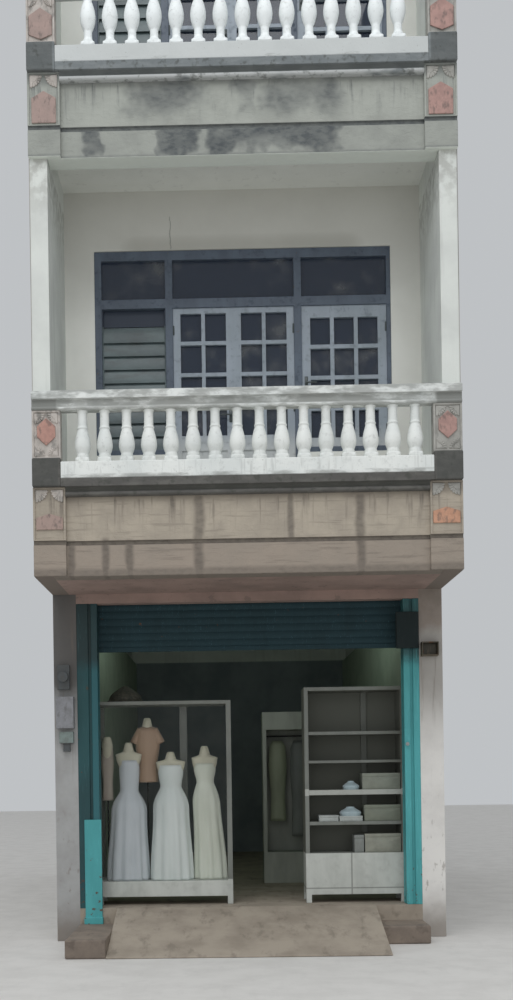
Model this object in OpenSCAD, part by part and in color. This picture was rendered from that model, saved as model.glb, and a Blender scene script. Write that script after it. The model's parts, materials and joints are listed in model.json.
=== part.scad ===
// Three-storey shophouse in a row: one bay wide, ground floor set back under the upper storeys.
// Millimetres. X runs across the front, Y runs from the street to the back, Z is up.
// The origin is the middle of the footprint at pavement level.

/* [Building] */
// Width between the outer faces of the party walls
width = 4200; // [3900:50:5000]
// Depth from the front of the upper storeys to the back of the rear wall
depth = 10000; // [8000:100:14000]
// Height of the shop floor above the pavement
shop_floor_level = 350; // [250:10:450]
// Height from one floor to the next
storey_height = 4110; // [4000:10:4300]
// How far the shop front stands back under the upper storeys
front_setback = 1200; // [1000:50:1500]
// Underside of the overhang above the pavement
overhang_level = 3750; // [3650:10:3900]

/* [Walls and slabs] */
// Thickness of the party walls beside the shop
shop_wall = 250; // [220:10:300]
// Thickness of the party walls of the upper storeys
upper_wall = 180; // [150:10:220]
// Thickness of the rear wall
rear_wall_thickness = 200; // [150:10:250]
// Thickness of the wall behind each balcony
loggia_wall_thickness = 150; // [120:10:200]
// Thickness of each floor slab
slab_thickness = 150; // [120:10:180]
// Height of the roof parapet above the top band
parapet_height = 490; // [300:10:600]

/* [Front bands] */
// Thickness of the plastered beam behind each band
band_thickness = 230; // [200:10:260]
// Height of each band, from its underside to the foot of the balustrade
band_height = 947; // [945:1:960]
// How much lower the mouldings of the middle and top bands sit
upper_drop = 45; // [0:5:45]
// Underside of the groove above the underside of the lowest band
groove_level = 305; // [250:5:320]
// Height of the groove
groove_height = 40; // [20:5:50]
// Underside of the cornice above the underside of the band
cornice_level = 756; // [740:2:780]
// How far the cornices and handrails stand out from the front
cornice_out = 90; // [70:5:120]

/* [Pilasters] */
// Width of the pilasters on the bands
pilaster_width = 320; // [300:10:360]
// Height of the pilasters above the underside of the band
pilaster_height = 870; // [850:5:880]
// Width of the pedestals of the balustrade
pedestal_width = 280; // [260:10:300]
// Height of the dark block under each pedestal
pedestal_base = 280; // [260:10:300]
// Depth of the sunk panels that hold the plaques
panel_recess = 18; // [10:1:25]

/* [Balustrades] */
// Number of balusters on the second floor
second_count = 16; // [12:1:16]
// Number of balusters on the third floor
third_count = 15; // [12:1:16]
// Distance from one baluster to the next
baluster_pitch = 217; // [200:1:220]
// How far the rows of balusters stand to the right of the middle
baluster_shift = 20; // [0:5:40]
// Height of the plinth under the balusters
plinth_height = 165; // [150:5:180]
// Underside of the handrail above the underside of the lowest band
handrail_level = 1620; // [1600:2:1640]
// Height of the handrail
handrail_height = 183; // [175:1:190]

/* [Balcony joinery] */
// Left edge of the frame from the middle of the building
frame_left = -1600; // [-1610:5:-1590]
// Width of the frame
frame_width = 3200; // [3190:5:3210]
// Top of the frame above the balcony floor
frame_top = 2810; // [2790:5:2830]
// Underside of the transom above the balcony floor
transom_level = 2190; // [2150:5:2200]
// Height of the window sills above the balcony floor
window_sill = 600; // [500:10:600]
// Depth of the frame
frame_depth = 100; // [80:5:110]

/* [Shop front] */
// Width of the left shutter rail
left_rail_width = 225; // [180:5:240]
// Width of the right shutter rail
right_rail_width = 170; // [160:5:200]
// Head of the shop opening
shop_head = 3650; // [3600:5:3660]
// Underside of the rolled-up shutter
shutter_level = 3135; // [2800:5:3200]
// Height of one slat of the shutter
slat_pitch = 80; // [70:2:90]
// Width of the ramp
ramp_width = 2800; // [2400:50:2900]

/* [Hidden] */
$fn = 48;
front_y = -(depth + cornice_out)/2 + cornice_out;
rear_y = front_y + depth;
setback_y = front_y + front_setback;
rear_inner_y = rear_y - rear_wall_thickness;
half_width = width/2;
shop_half = half_width - shop_wall;
upper_half = half_width - upper_wall;
floor_over_band = 900;
top_z = trim_z(3) + band_height + parapet_height;
sunk = 0.5;

// Underside of the band at the foot of storey n, counted from the second floor as 1
function band_z(n) = overhang_level + (n - 1)*storey_height;

// Level that the groove, the cornice and the balustrade of band n are measured from
function trim_z(n) = band_z(n) - (n == 1 ? 0 : upper_drop);

// Top of the floor slab of storey n
function floor_z(n) = band_z(n) + floor_over_band;

// A box between two corners
module block(low, high) {
    translate(low) cube(high - low);
}

// A profile drawn in Y and Z, carried along X from x0 to x1
module along_x(x0, x1) {
    translate([x0, 0, 0]) rotate([90, 0, 90]) linear_extrude(x1 - x0) children();
}

// The same thing on the left and on the right
module both_sides() {
    children();
    mirror([1, 0, 0]) children();
}

// Ground works

module shop_floor() color("tan") {
    block([-shop_half, setback_y, 0], [shop_half, rear_inner_y, shop_floor_level]);
}

ramp_left = -1450;
ramp_toe = 15;
ramp_front = front_y - 85;

module front_ramp() color("burlywood") {
    along_x(ramp_left, ramp_left + ramp_width)
        polygon([
            [ramp_front, 0],
            [setback_y, 0],
            [setback_y, shop_floor_level],
            [ramp_front, ramp_toe]
        ]);
}

step_height = 185;
left_step_run = 1270;
right_step_run = 520;

module side_steps() color("rosybrown") {
    block([-shop_half, setback_y - left_step_run, 0], [ramp_left, setback_y, step_height]);
    block([ramp_left + ramp_width, setback_y - right_step_run, 0], [shop_half, setback_y, step_height]);
}

// Walls and slabs

module shop_wall_block() {
    block([shop_half, setback_y, 0], [half_width, rear_y, overhang_level]);
}

module left_shop_wall() color("whitesmoke") mirror([1, 0, 0]) shop_wall_block();

module right_shop_wall() color("whitesmoke") shop_wall_block();

module upper_wall_block() {
    block([upper_half, front_y, overhang_level], [half_width, rear_y, top_z]);
}

module left_upper_wall() color("gainsboro") mirror([1, 0, 0]) upper_wall_block();

module right_upper_wall() color("gainsboro") upper_wall_block();

lintel_thickness = 150;
slab_underside = floor_over_band - slab_thickness;

module shop_lintel() color("dimgray") {
    block([-shop_half, setback_y, shop_head], [shop_half, setback_y + lintel_thickness, overhang_level]);
    block([-upper_half, setback_y, overhang_level],
        [upper_half, setback_y + lintel_thickness, overhang_level + slab_underside]);
}

soffit_thickness = 100;
ceiling_board = 12;
ceiling_over_band = 240;

module front_ceilings() color("lightgray") {
    block([-upper_half, front_y + band_thickness, overhang_level],
        [upper_half, setback_y, overhang_level + soffit_thickness]);
    for (n = [2, 3])
        block([-upper_half, front_y + band_thickness, band_z(n) + ceiling_over_band],
            [upper_half, setback_y, band_z(n) + ceiling_over_band + ceiling_board]);
}

module floor_slab(n) {
    block([-upper_half, front_y + band_thickness, floor_z(n) - slab_thickness],
        [upper_half, rear_inner_y, floor_z(n)]);
}

module second_floor() color("lightgray") floor_slab(1);

module third_floor() color("lightgray") floor_slab(2);

module roof_slab() color("gray") floor_slab(3);

// Front bands with a groove, and the cornice along the top of each

groove_depth = 18;

module band(n) {
    along_x(-upper_half, upper_half) difference() {
        translate([front_y, band_z(n)]) square([band_thickness, trim_z(n) + band_height - band_z(n)]);
        translate([front_y - 1, trim_z(n) + groove_level]) square([groove_depth + 1, groove_height]);
    }
}

module lower_band() color("tan") band(1);

module middle_band() color("tan") band(2);

module top_band() color("tan") band(3);

cornice_lip = 45;
bead_radius = 22;
fascia_foot = pilaster_height - cornice_level;

// Square fascia along the top of the cornice
module cornice_fascia() {
    translate([-cornice_out, fascia_foot]) square([cornice_out, band_height - cornice_level - fascia_foot]);
}

// Bed under the fascia: a hollow cove over a round bead
module cornice_bed() {
    difference() {
        translate([-cornice_out, 3*bead_radius]) square([cornice_out, fascia_foot - 3*bead_radius]);
        translate([-cornice_out, 3*bead_radius]) circle(cornice_lip);
    }
    translate([-cornice_lip, bead_radius]) square([cornice_lip, 2*bead_radius]);
    translate([-cornice_lip, 2*bead_radius]) circle(bead_radius);
}

module cornices() color("dimgray") {
    bed_reach = half_width - pilaster_width;
    fascia_reach = half_width - pedestal_width;
    for (n = [1, 2, 3])
        translate([0, front_y, trim_z(n) + cornice_level]) {
            along_x(-fascia_reach, fascia_reach) cornice_fascia();
            along_x(-bed_reach, bed_reach) cornice_bed();
        }
}

// Balustrades

plinth_out = 85;
plinth_depth = 160;

module balustrade_plinths() color("white") {
    reach = half_width - pedestal_width;
    for (n = [1, 2])
        translate([-reach, front_y - plinth_out, trim_z(n) + band_height])
            cube([2*reach, plinth_depth, plinth_height]);
}

// Radius at share q of a stretch, counted from its wide end: a cosine, or its square for a flowing one
function swept(narrow, wide, q, power) = narrow + (wide - narrow)*pow(cos(90*q), power);

// Radius at share q of the stretch from station a to station b, whichever is wider
function turned_radius(a, b, q) = b[1] > a[1]
    ? swept(a[1], b[1], 1 - q, a[2])
    : swept(b[1], a[1], q, a[2]);

// Outline of a turned form: the stations joined by swept curves of four steps each
function turned(stations, h) = [
    for (i = [0 : len(stations) - 2])
        for (s = [0 : 3])
            [
                turned_radius(stations[i], stations[i + 1], s/4),
                h*(stations[i][0] + (stations[i + 1][0] - stations[i][0])*s/4)
            ],
    [stations[len(stations) - 1][1], h]
];

// Stations are [share of the height, radius, power of the sweep up to the next station].
// Pear-shaped baluster over its foot block: ring, low round bulb, narrow ring, long neck, flared top
pear = [[0, 62, 2], [0.06, 62, 2], [0.09, 57, 1], [0.26, 79, 1], [0.60, 48, 2], [0.63, 54, 2],
    [0.67, 46, 2], [0.93, 45, 2], [1, 54, 2]];

// Egg-shaped baluster over its foot block: ring, slender neck, high round bulb, flared top
egg = [[0, 54, 2], [0.05, 54, 2], [0.12, 41, 2], [0.26, 41, 1], [0.56, 78, 1], [0.90, 42, 2], [1, 54, 2]];

// Square block at the foot of a baluster
baluster_block = 136;
block_height = 40;

module turned_form(stations, h) {
    rotate_extrude() polygon(concat([[0, 0]], turned(stations, h), [[0, h]]));
}

module baluster(stations, h) {
    translate([-baluster_block/2, -baluster_block/2, 0])
        cube([baluster_block, baluster_block, block_height]);
    translate([0, 0, block_height]) turned_form(stations, h - block_height);
}

module baluster_row(n, count, stations) {
    foot = band_height + plinth_height;
    axis_y = front_y - plinth_out + plinth_depth/2;
    for (i = [0 : count - 1])
        translate([baluster_shift + (i - (count - 1)/2)*baluster_pitch, axis_y, trim_z(n) + foot])
            baluster(stations, handrail_level - foot);
}

module second_balusters() color("white") baluster_row(1, second_count, pear);

module third_balusters() color("white") baluster_row(2, third_count, egg);

rail_top_height = 78;
rail_top_inside = 95;
rail_face_in = 30;
rail_face_inside = 50;
rail_bead_in = 15;
rail_bead_inside = 55;
rail_bead_height = 36;

// Flat white top with a drip, over a face set back above a round-nosed bead
module handrail_profile() {
    translate([-cornice_out, handrail_height - rail_top_height])
        square([cornice_out + rail_top_inside, rail_top_height]);
    translate([rail_face_in - cornice_out, rail_bead_height/2])
        square([cornice_out - rail_face_in + rail_face_inside,
            handrail_height - rail_top_height - rail_bead_height/2]);
    translate([rail_bead_in + rail_bead_height/2 - cornice_out, 0])
        square([cornice_out - rail_bead_in - rail_bead_height/2 + rail_bead_inside, rail_bead_height]);
    translate([rail_bead_in + rail_bead_height/2 - cornice_out, rail_bead_height/2])
        circle(rail_bead_height/2);
}

module handrails() color("white") {
    for (n = [1, 2])
        translate([0, front_y, trim_z(n) + handrail_level]) {
            along_x(-upper_half, upper_half) handrail_profile();
            along_x(-half_width, half_width) intersection() {
                handrail_profile();
                translate([-cornice_out, 0]) square([cornice_out, handrail_height]);
            }
        }
}

// Pilasters and pedestals with sunk panels, six-sided plaques and corner fans

pilaster_out = 50;
pedestal_out = 60;
panel_margin = 20;

// Heights of the sunk panel of a pilaster above the level of the mouldings
band_panel = [groove_level + groove_height + 10, pilaster_height - panel_margin];

// Heights of the sunk panel of a pedestal above the level of the mouldings
pedestal_foot = pilaster_height + pedestal_base;
pedestal_panel = [pedestal_foot + panel_margin, handrail_level - panel_margin];

module pilaster(n) {
    foot = trim_z(n);
    difference() {
        block([half_width - pilaster_width, front_y - pilaster_out, band_z(n)],
            [half_width, front_y, foot + pilaster_height]);
        block([half_width - pilaster_width - 1, front_y - pilaster_out - 1, foot + groove_level],
            [half_width + 1, front_y - pilaster_out + groove_depth, foot + groove_level + groove_height]);
        block([half_width - pilaster_width + panel_margin, front_y - pilaster_out - 1, foot + band_panel[0]],
            [half_width - panel_margin, front_y - pilaster_out + panel_recess, foot + band_panel[1]]);
    }
}

module pilasters() color("tan") {
    for (n = [1, 2, 3])
        both_sides() pilaster(n);
}

// The dark block between pilaster and pedestal, with its return beside the party wall
module pedestal_base_front() {
    block([half_width - pedestal_width, front_y - cornice_out, pilaster_height],
        [half_width, front_y, pedestal_foot]);
}

module pedestal_base_block() {
    pedestal_base_front();
    block([half_width - pedestal_width, front_y, band_height],
        [upper_half, front_y + plinth_depth - plinth_out, pedestal_foot]);
}

module pedestal_bases() color("darkslategray") {
    for (n = [1, 2])
        translate([0, 0, trim_z(n)]) both_sides() pedestal_base_block();
    translate([0, 0, trim_z(3)]) both_sides() pedestal_base_front();
}

module pedestal() {
    difference() {
        union() {
            block([half_width - pedestal_width, front_y - pedestal_out, pedestal_foot],
                [half_width, front_y, handrail_level]);
            block([half_width - pedestal_width, front_y, pedestal_foot],
                [upper_half, front_y + plinth_depth - plinth_out, handrail_level]);
        }
        block([half_width - pedestal_width + panel_margin, front_y - pedestal_out - 1, pedestal_panel[0]],
            [half_width - panel_margin, front_y - pedestal_out + panel_recess, pedestal_panel[1]]);
    }
}

// Plain block that ends the roof parapet
module parapet_pedestal() {
    block([half_width - pedestal_width, front_y - pedestal_out, pedestal_foot],
        [half_width, front_y, band_height + parapet_height]);
}

module pedestals() color("silver") {
    for (n = [1, 2])
        translate([0, 0, trim_z(n)]) both_sides() pedestal();
    translate([0, 0, trim_z(3)]) both_sides() parapet_pedestal();
}

plaque_thickness = 14;

// Plaques as [half width, foot, head, height of the top point, height of the foot point]
lower_band_plaque = [132, 455, 612, 40, 0];
upper_band_plaque = [120, 375, 690, 70, 0];
second_pedestal_plaque = [90, 1278, 1548, 82, 82];
third_pedestal_plaque = [114, 1188, 1500, 78, 46];

// Upright plaque: straight sides, with a point at the top and, on request, one at the bottom
module plaque(p) {
    polygon([
        [-p[0], p[1] + p[4]],
        [0, p[1]],
        [p[0], p[1] + p[4]],
        [p[0], p[2] - p[3]],
        [0, p[2]],
        [-p[0], p[2] - p[3]]
    ]);
}

// A flat shape drawn in X and Z, standing out towards the street from the plane y
module standing(y, thickness) {
    translate([0, y, 0]) rotate([90, 0, 0]) linear_extrude(thickness) children();
}

// A flat shape in the sunk panel of each pilaster of band n
module in_pilaster(n) {
    both_sides() translate([half_width - pilaster_width/2, 0, trim_z(n)])
        standing(front_y - pilaster_out + panel_recess, plaque_thickness) children();
}

// A flat shape in the sunk panel of each pedestal over band n
module in_pedestal(n) {
    both_sides() translate([half_width - pedestal_width/2, 0, trim_z(n)])
        standing(front_y - pedestal_out + panel_recess, plaque_thickness) children();
}

module hexagon_plaques() color("indianred") {
    in_pilaster(1) plaque(lower_band_plaque);
    in_pilaster(2) plaque(upper_band_plaque);
    in_pilaster(3) plaque(upper_band_plaque);
    in_pedestal(1) plaque(second_pedestal_plaque);
    in_pedestal(2) plaque(third_pedestal_plaque);
}

// A quarter disc in the corner of a panel
module fan(corner, radius, turn) {
    translate(corner) rotate(turn) intersection() {
        circle(radius);
        square(radius + 1);
    }
}

panel_joint = 4;
band_fan = 122;
second_pedestal_fan = 104;
third_pedestal_fan = 86;

// Fans in the two upper corners of a panel as wide as two times half
module upper_fans(half, head, radius) {
    fan([-half, head - panel_joint], radius, -90);
    fan([half, head - panel_joint], radius, 180);
}

// Fans in the two lower corners of a panel as wide as two times half
module lower_fans(half, foot, radius) {
    fan([-half, foot + panel_joint], radius, 0);
    fan([half, foot + panel_joint], radius, 90);
}

module corner_fans() color("lightgray") {
    band_half = pilaster_width/2 - panel_margin - panel_joint;
    pedestal_half = pedestal_width/2 - panel_margin - panel_joint;
    for (n = [1, 2, 3])
        in_pilaster(n) upper_fans(band_half, band_panel[1], band_fan);
    in_pedestal(1) {
        upper_fans(pedestal_half, pedestal_panel[1], second_pedestal_fan);
        lower_fans(pedestal_half, pedestal_panel[0], second_pedestal_fan);
    }
    in_pedestal(2) upper_fans(pedestal_half, pedestal_panel[1], third_pedestal_fan);
}

// Wall behind each balcony, and its joinery

loggia_wall_height = storey_height - slab_thickness;
frame_right = frame_left + frame_width;
left_jamb = 75;
jamb = 46;
head = 100;
mullion = 80;
transom = 100;
sill_bar = 60;
left_mullion = frame_left + 764;
right_mullion = frame_left + 2156;
door_half = (right_mullion - left_mullion - mullion)/2;
door_middle = (left_mullion + mullion + right_mullion)/2;
frame_y = setback_y + 15;

module loggia_wall(n) {
    translate([0, 0, floor_z(n)]) difference() {
        block([-upper_half, setback_y, 0],
            [upper_half, setback_y + loggia_wall_thickness, loggia_wall_height]);
        block([frame_left, setback_y - 1, window_sill],
            [frame_right, setback_y + loggia_wall_thickness + 1, frame_top]);
        block([left_mullion, setback_y - 1, -1],
            [right_mullion + mullion, setback_y + loggia_wall_thickness + 1, window_sill + 1]);
    }
}

module second_loggia_wall() color("lightgray") loggia_wall(1);

module third_loggia_wall() color("lightgray") loggia_wall(2);

// Frame with a louvre bay, a door bay and a window bay under three fixed lights
module window_frame(n) {
    y0 = frame_y;
    y1 = frame_y + frame_depth;
    translate([0, 0, floor_z(n)]) {
        difference() {
            block([frame_left, y0, window_sill], [frame_right, y1, frame_top]);
            block([frame_left + left_jamb, y0 - 1, transom_level + transom],
                [left_mullion, y1 + 1, frame_top - head]);
            block([left_mullion + mullion, y0 - 1, transom_level + transom],
                [right_mullion, y1 + 1, frame_top - head]);
            block([right_mullion + mullion, y0 - 1, transom_level + transom],
                [frame_right - jamb, y1 + 1, frame_top - head]);
            block([frame_left + left_jamb, y0 - 1, window_sill + sill_bar],
                [left_mullion, y1 + 1, transom_level]);
            block([left_mullion + mullion, y0 - 1, window_sill - 1], [right_mullion, y1 + 1, transom_level]);
            block([right_mullion + mullion, y0 - 1, window_sill + sill_bar],
                [frame_right - jamb, y1 + 1, transom_level]);
        }
        block([left_mullion, y0, 0], [left_mullion + mullion, y1, window_sill]);
        block([right_mullion, y0, 0], [right_mullion + mullion, y1, window_sill]);
    }
}

module second_window_frame() color("slategray") window_frame(1);

module third_window_frame() color("slategray") window_frame(2);

leaf_depth = 40;
leaf_y = frame_y + 20;

// A leaf with panes in columns and rows, the top row under the top rail; x0 is its left edge
module glazed_leaf(x0, leaf_width, z0, z1, stile, top_rail, columns, rows, pane_height, bar) {
    pane_width = (leaf_width - 2*stile - (columns - 1)*bar)/columns;
    difference() {
        block([x0, leaf_y, z0], [x0 + leaf_width, leaf_y + leaf_depth, z1]);
        for (c = [0 : columns - 1])
            for (r = [0 : rows - 1])
                translate([
                    x0 + stile + c*(pane_width + bar),
                    leaf_y - 1,
                    z1 - top_rail - pane_height - r*(pane_height + bar)
                ])
                    cube([pane_width, leaf_depth + 2, pane_height]);
    }
}

door_stile = 82;
door_top_rail = 60;
pane_height = 300;
glazing_bar = 42;
door_gap = 10;
panel_depth = 12;

// One door leaf with eight panes over a sunk panel
module door_leaf(x0) {
    panel_low = 190;
    panel_high = 640;
    difference() {
        glazed_leaf(x0, door_half, door_gap, transom_level, door_stile, door_top_rail, 2, 4,
            pane_height, glazing_bar);
        block([x0 + door_stile, leaf_y - 1, panel_low],
            [x0 + door_half - door_stile, leaf_y + panel_depth, panel_high]);
    }
}

module balcony_doors() color("lightsteelblue") {
    for (n = [1, 2])
        translate([0, 0, floor_z(n)]) {
            door_leaf(door_middle - door_half);
            door_leaf(door_middle);
        }
}

casement_stile = 95;
casement_top_rail = 130;
casement_pane = 292;
casement_bar = 44;

module casements() color("lightsteelblue") {
    leaf_width = frame_right - jamb - right_mullion - mullion;
    for (n = [1, 2])
        translate([0, 0, floor_z(n)])
            glazed_leaf(right_mullion + mullion, leaf_width, window_sill + sill_bar, transom_level,
                casement_stile, casement_top_rail, 3, 4, casement_pane, casement_bar);
}

blade_pitch = 146;
blade_height = 158;
blade_thickness = 6;
blade_tilt = 18;
blade_count = 9;
clip_strip = 14;
clip_depth = 50;
lowest_blade = 75;

// Tilted glass blades held in a strip at each side
module louvre_bay() {
    x0 = frame_left + left_jamb;
    x1 = left_mullion;
    z0 = window_sill + sill_bar;
    y0 = frame_y + (frame_depth - clip_depth)/2;
    block([x0, y0, z0], [x0 + clip_strip, y0 + clip_depth, transom_level]);
    block([x1 - clip_strip, y0, z0], [x1, y0 + clip_depth, transom_level]);
    for (i = [0 : blade_count - 1])
        translate([x0 + clip_strip - sunk, y0 + clip_depth/2, z0 + lowest_blade + i*blade_pitch])
            rotate([blade_tilt, 0, 0])
                translate([0, -blade_thickness/2, -blade_height/2])
                    cube([x1 - x0 - 2*clip_strip + 2*sunk, blade_thickness, blade_height]);
}

module louvre_blades() color("darkseagreen") {
    for (n = [1, 2])
        translate([0, 0, floor_z(n)]) louvre_bay();
}

glass_thickness = 5;
door_glass_foot = 700;
glass_lap = 40;

// Fixed lights over the transom, and one sheet behind the panes of each leaf
module balcony_glass(n) {
    y0 = frame_y + frame_depth/2 - glass_thickness;
    y1 = y0 + glass_thickness;
    leaf_back = leaf_y + leaf_depth;
    translate([0, 0, floor_z(n)]) {
        block([frame_left + left_jamb, y0, transom_level + transom],
            [left_mullion, y1, frame_top - head]);
        block([left_mullion + mullion, y0, transom_level + transom], [right_mullion, y1, frame_top - head]);
        block([right_mullion + mullion, y0, transom_level + transom],
            [frame_right - jamb, y1, frame_top - head]);
        for (x0 = [door_middle - door_half, door_middle])
            block([x0 + glass_lap, leaf_back, door_glass_foot],
                [x0 + door_half - glass_lap, leaf_back + glass_thickness, transom_level - glass_lap/2]);
        block([right_mullion + mullion + glass_lap, leaf_back, window_sill + sill_bar + glass_lap],
            [frame_right - jamb - glass_lap, leaf_back + glass_thickness, transom_level - glass_lap]);
    }
}

module second_glass() color("darkslategray", 0.4) balcony_glass(1);

module third_glass() color("darkslategray", 0.4) balcony_glass(2);

// Shop front

rail_depth = 200;
slot_front = 160;
slot_back = 190;
slot_depth = 40;

// Plan of a shutter rail: a box with a slot for the curtain, and a groove down its face
module rail(rail_width) {
    groove_x = 100;
    groove_width = 32;
    groove_in = 25;
    difference() {
        block([0, 0, 0], [rail_width, rail_depth, shop_head - shop_floor_level]);
        block([rail_width - slot_depth, slot_front, -1],
            [rail_width + 1, slot_back, shop_head - shop_floor_level + 1]);
        block([rail_width - groove_x, -1, -1],
            [rail_width - groove_x + groove_width, groove_in, shop_head - shop_floor_level + 1]);
    }
}

module left_shutter_rail() color("teal") {
    translate([-shop_half, setback_y, shop_floor_level]) rail(left_rail_width);
}

module right_shutter_rail() color("lightseagreen") {
    translate([shop_half, setback_y, shop_floor_level]) mirror([1, 0, 0]) rail(right_rail_width);
}

cover_left = -1790;
cover_width = 183;
cover_low = 254;
cover_high = 1310;
cover_depth = 22;
cover_foot = 10;
cover_toe = 62;

// Sheet guard over the foot of the left rail, standing on a wider foot
module rail_cover() color("turquoise") {
    block([cover_left, setback_y - cover_depth, cover_low],
        [cover_left + cover_width, setback_y, cover_high]);
    block([cover_left - cover_foot, setback_y - cover_toe, step_height],
        [cover_left + cover_width + cover_foot, setback_y, cover_low]);
}

slot_play = 5;
curtain_left = -shop_half + left_rail_width - slot_depth + slot_play;
curtain_right = shop_half - right_rail_width + slot_depth - slot_play;
curtain_y = setback_y + (slot_front + slot_back)/2;
bottom_bar = 50;
bar_half = 12;
coil_radius = 150;
coil_lift = 330;
slat_count = round((shop_head + coil_lift - shutter_level - bottom_bar)/slat_pitch);
slat_bulge = 11;
sheet = 4;
axle_radius = 30;

// Face of the slats: each one a shallow arch, drawn as depth against height
function slat_face(shift) = [
    for (i = [0 : slat_count - 1])
        for (s = [0 : 4])
            [shift - slat_bulge*sin(180*s/5), (i + s/5)*slat_pitch],
    [shift, slat_count*slat_pitch]
];

function reversed(list) = [for (i = [len(list) - 1 : -1 : 0]) list[i]];

module shutter_curtain() color("darkcyan") {
    translate([0, curtain_y, shutter_level + bottom_bar])
        along_x(curtain_left, curtain_right)
            polygon(concat(slat_face(0), reversed(slat_face(sheet))));
    translate([0, curtain_y + coil_radius, shutter_level + bottom_bar + slat_count*slat_pitch])
        rotate([0, 90, 0]) {
            translate([0, 0, curtain_left]) cylinder(r = coil_radius, h = curtain_right - curtain_left);
            translate([0, 0, -upper_half]) cylinder(r = axle_radius, h = 2*upper_half);
        }
}

module shutter_bottom_bar() color("cadetblue") {
    block([curtain_left, curtain_y - bar_half, shutter_level],
        [curtain_right, curtain_y + bar_half, shutter_level + bottom_bar]);
}

// A box on the wall of the shop front: left edge and foot, then width, height and depth
module wall_box(place, size) {
    translate([place[0], setback_y - size[2], place[1]]) cube([size[0], size[2], size[1]]);
}

module shutter_end_box() color("black") wall_box([1600, 3110], [240, 390, 60]);

meter_drum = 55;
meter_middle = 2855;

// A meter with a round drum on its face, a cable box under it, and a small box with a valve below
module meter_box() color("ivory") {
    wall_box([-2055, 2720], [130, 265, 60]);
    translate([-1990, setback_y - 60, meter_middle]) rotate([90, 0, 0]) cylinder(r = meter_drum, h = 50);
    wall_box([-2068, 2300], [188, 340, 110]);
    wall_box([-2040, 2140], [150, 125, 80]);
    wall_box([-2000, 2050], [70, 90, 60]);
}

bracket_place = [1865, 3020];
bracket_size = [180, 150, 110];
bracket_sheet = 12;

// Open-fronted steel box that held a fitting
module wall_bracket() color("saddlebrown") {
    difference() {
        wall_box(bracket_place, bracket_size);
        translate([bracket_place[0] + bracket_sheet, setback_y - bracket_size[2] - 1,
            bracket_place[1] + bracket_sheet])
            cube([
                bracket_size[0] - 2*bracket_sheet,
                bracket_size[2] - bracket_sheet + 1,
                bracket_size[1] - 2*bracket_sheet
            ]);
    }
}

// Rear: a plain window to each upper storey, and a door to the shop

rear_window_width = 1800;
rear_window_sill = 950;
rear_window_height = 1400;
rear_door_width = 900;
rear_door_height = 2100;
rear_door_x = 700;
rear_bar = 60;
rear_frame_in = 120;
rear_door_panel = 1500;

// Openings of the rear wall as [left, floor height, width, height]
rear_openings = [
    [rear_door_x, shop_floor_level, rear_door_width, rear_door_height],
    [-rear_window_width/2, floor_z(1) + rear_window_sill, rear_window_width, rear_window_height],
    [-rear_window_width/2, floor_z(2) + rear_window_sill, rear_window_width, rear_window_height]
];

module rear_wall() color("gainsboro") {
    difference() {
        union() {
            block([-shop_half, rear_inner_y, 0], [shop_half, rear_y, overhang_level]);
            block([-upper_half, rear_inner_y, overhang_level],
                [upper_half, rear_y, band_z(3) + floor_over_band]);
        }
        for (o = rear_openings)
            block([o[0], rear_inner_y - 1, o[1]], [o[0] + o[2], rear_y + 1, o[1] + o[3]]);
    }
}

// A frame of two lights, or a door with one light over a solid lower part
module rear_frame(o, is_door) {
    y0 = rear_y - rear_frame_in;
    y1 = y0 + rear_bar;
    half = (o[2] - rear_bar)/2;
    difference() {
        block([o[0], y0, o[1]], [o[0] + o[2], y1, o[1] + o[3]]);
        if (is_door)
            block([o[0] + 2*rear_bar, y0 - 1, o[1] + rear_door_panel],
                [o[0] + o[2] - 2*rear_bar, y1 + 1, o[1] + o[3] - 2*rear_bar]);
        else
            for (s = [0, 1])
                block([o[0] + rear_bar + s*half, y0 - 1, o[1] + rear_bar],
                    [o[0] + (s + 1)*half, y1 + 1, o[1] + o[3] - rear_bar]);
    }
}

module rear_frames() color("slategray") {
    for (i = [0 : len(rear_openings) - 1])
        rear_frame(rear_openings[i], i == 0);
}

module rear_glass() color("darkslategray", 0.4) {
    y1 = rear_y - rear_frame_in;
    for (i = [0 : len(rear_openings) - 1]) {
        o = rear_openings[i];
        low = i == 0 ? rear_door_panel - glass_lap : rear_bar/2;
        block([o[0] + rear_bar/2, y1 - glass_thickness, o[1] + low],
            [o[0] + o[2] - rear_bar/2, y1, o[1] + o[3] - rear_bar/2]);
    }
}

coping_height = 60;
coping_out = 40;
parapet_thickness = 150;

// Front and rear parapets of the flat roof
module parapets() color("whitesmoke") {
    block([-upper_half, front_y, trim_z(3) + band_height],
        [upper_half, front_y + parapet_thickness, top_z - coping_height]);
    block([-upper_half, front_y - coping_out, top_z - coping_height],
        [upper_half, front_y + rear_wall_thickness, top_z]);
    block([-upper_half, rear_inner_y, floor_z(3)], [upper_half, rear_y, top_z]);
}

// Shop furniture seen through the open front

showcase_left = -1690;
showcase_right = -190;
showcase_y = setback_y + 260;
showcase_depth = 500;
showcase_top = 2600;
furniture_foot = 90;
showcase_base = 170;
showcase_post = 55;
showcase_head = 40;
showcase_divider = -733;
divider_width = 85;
divider_depth = 30;
showcase_pane_in = 10;
foot_size = 60;

// Four feet under a piece of furniture
module feet(x0, x1, y0, depth_y) {
    for (x = [x0, x1 - foot_size])
        for (y = [y0, y0 + depth_y - foot_size])
            translate([x, y, shop_floor_level]) cube([foot_size, foot_size, furniture_foot]);
}

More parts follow.
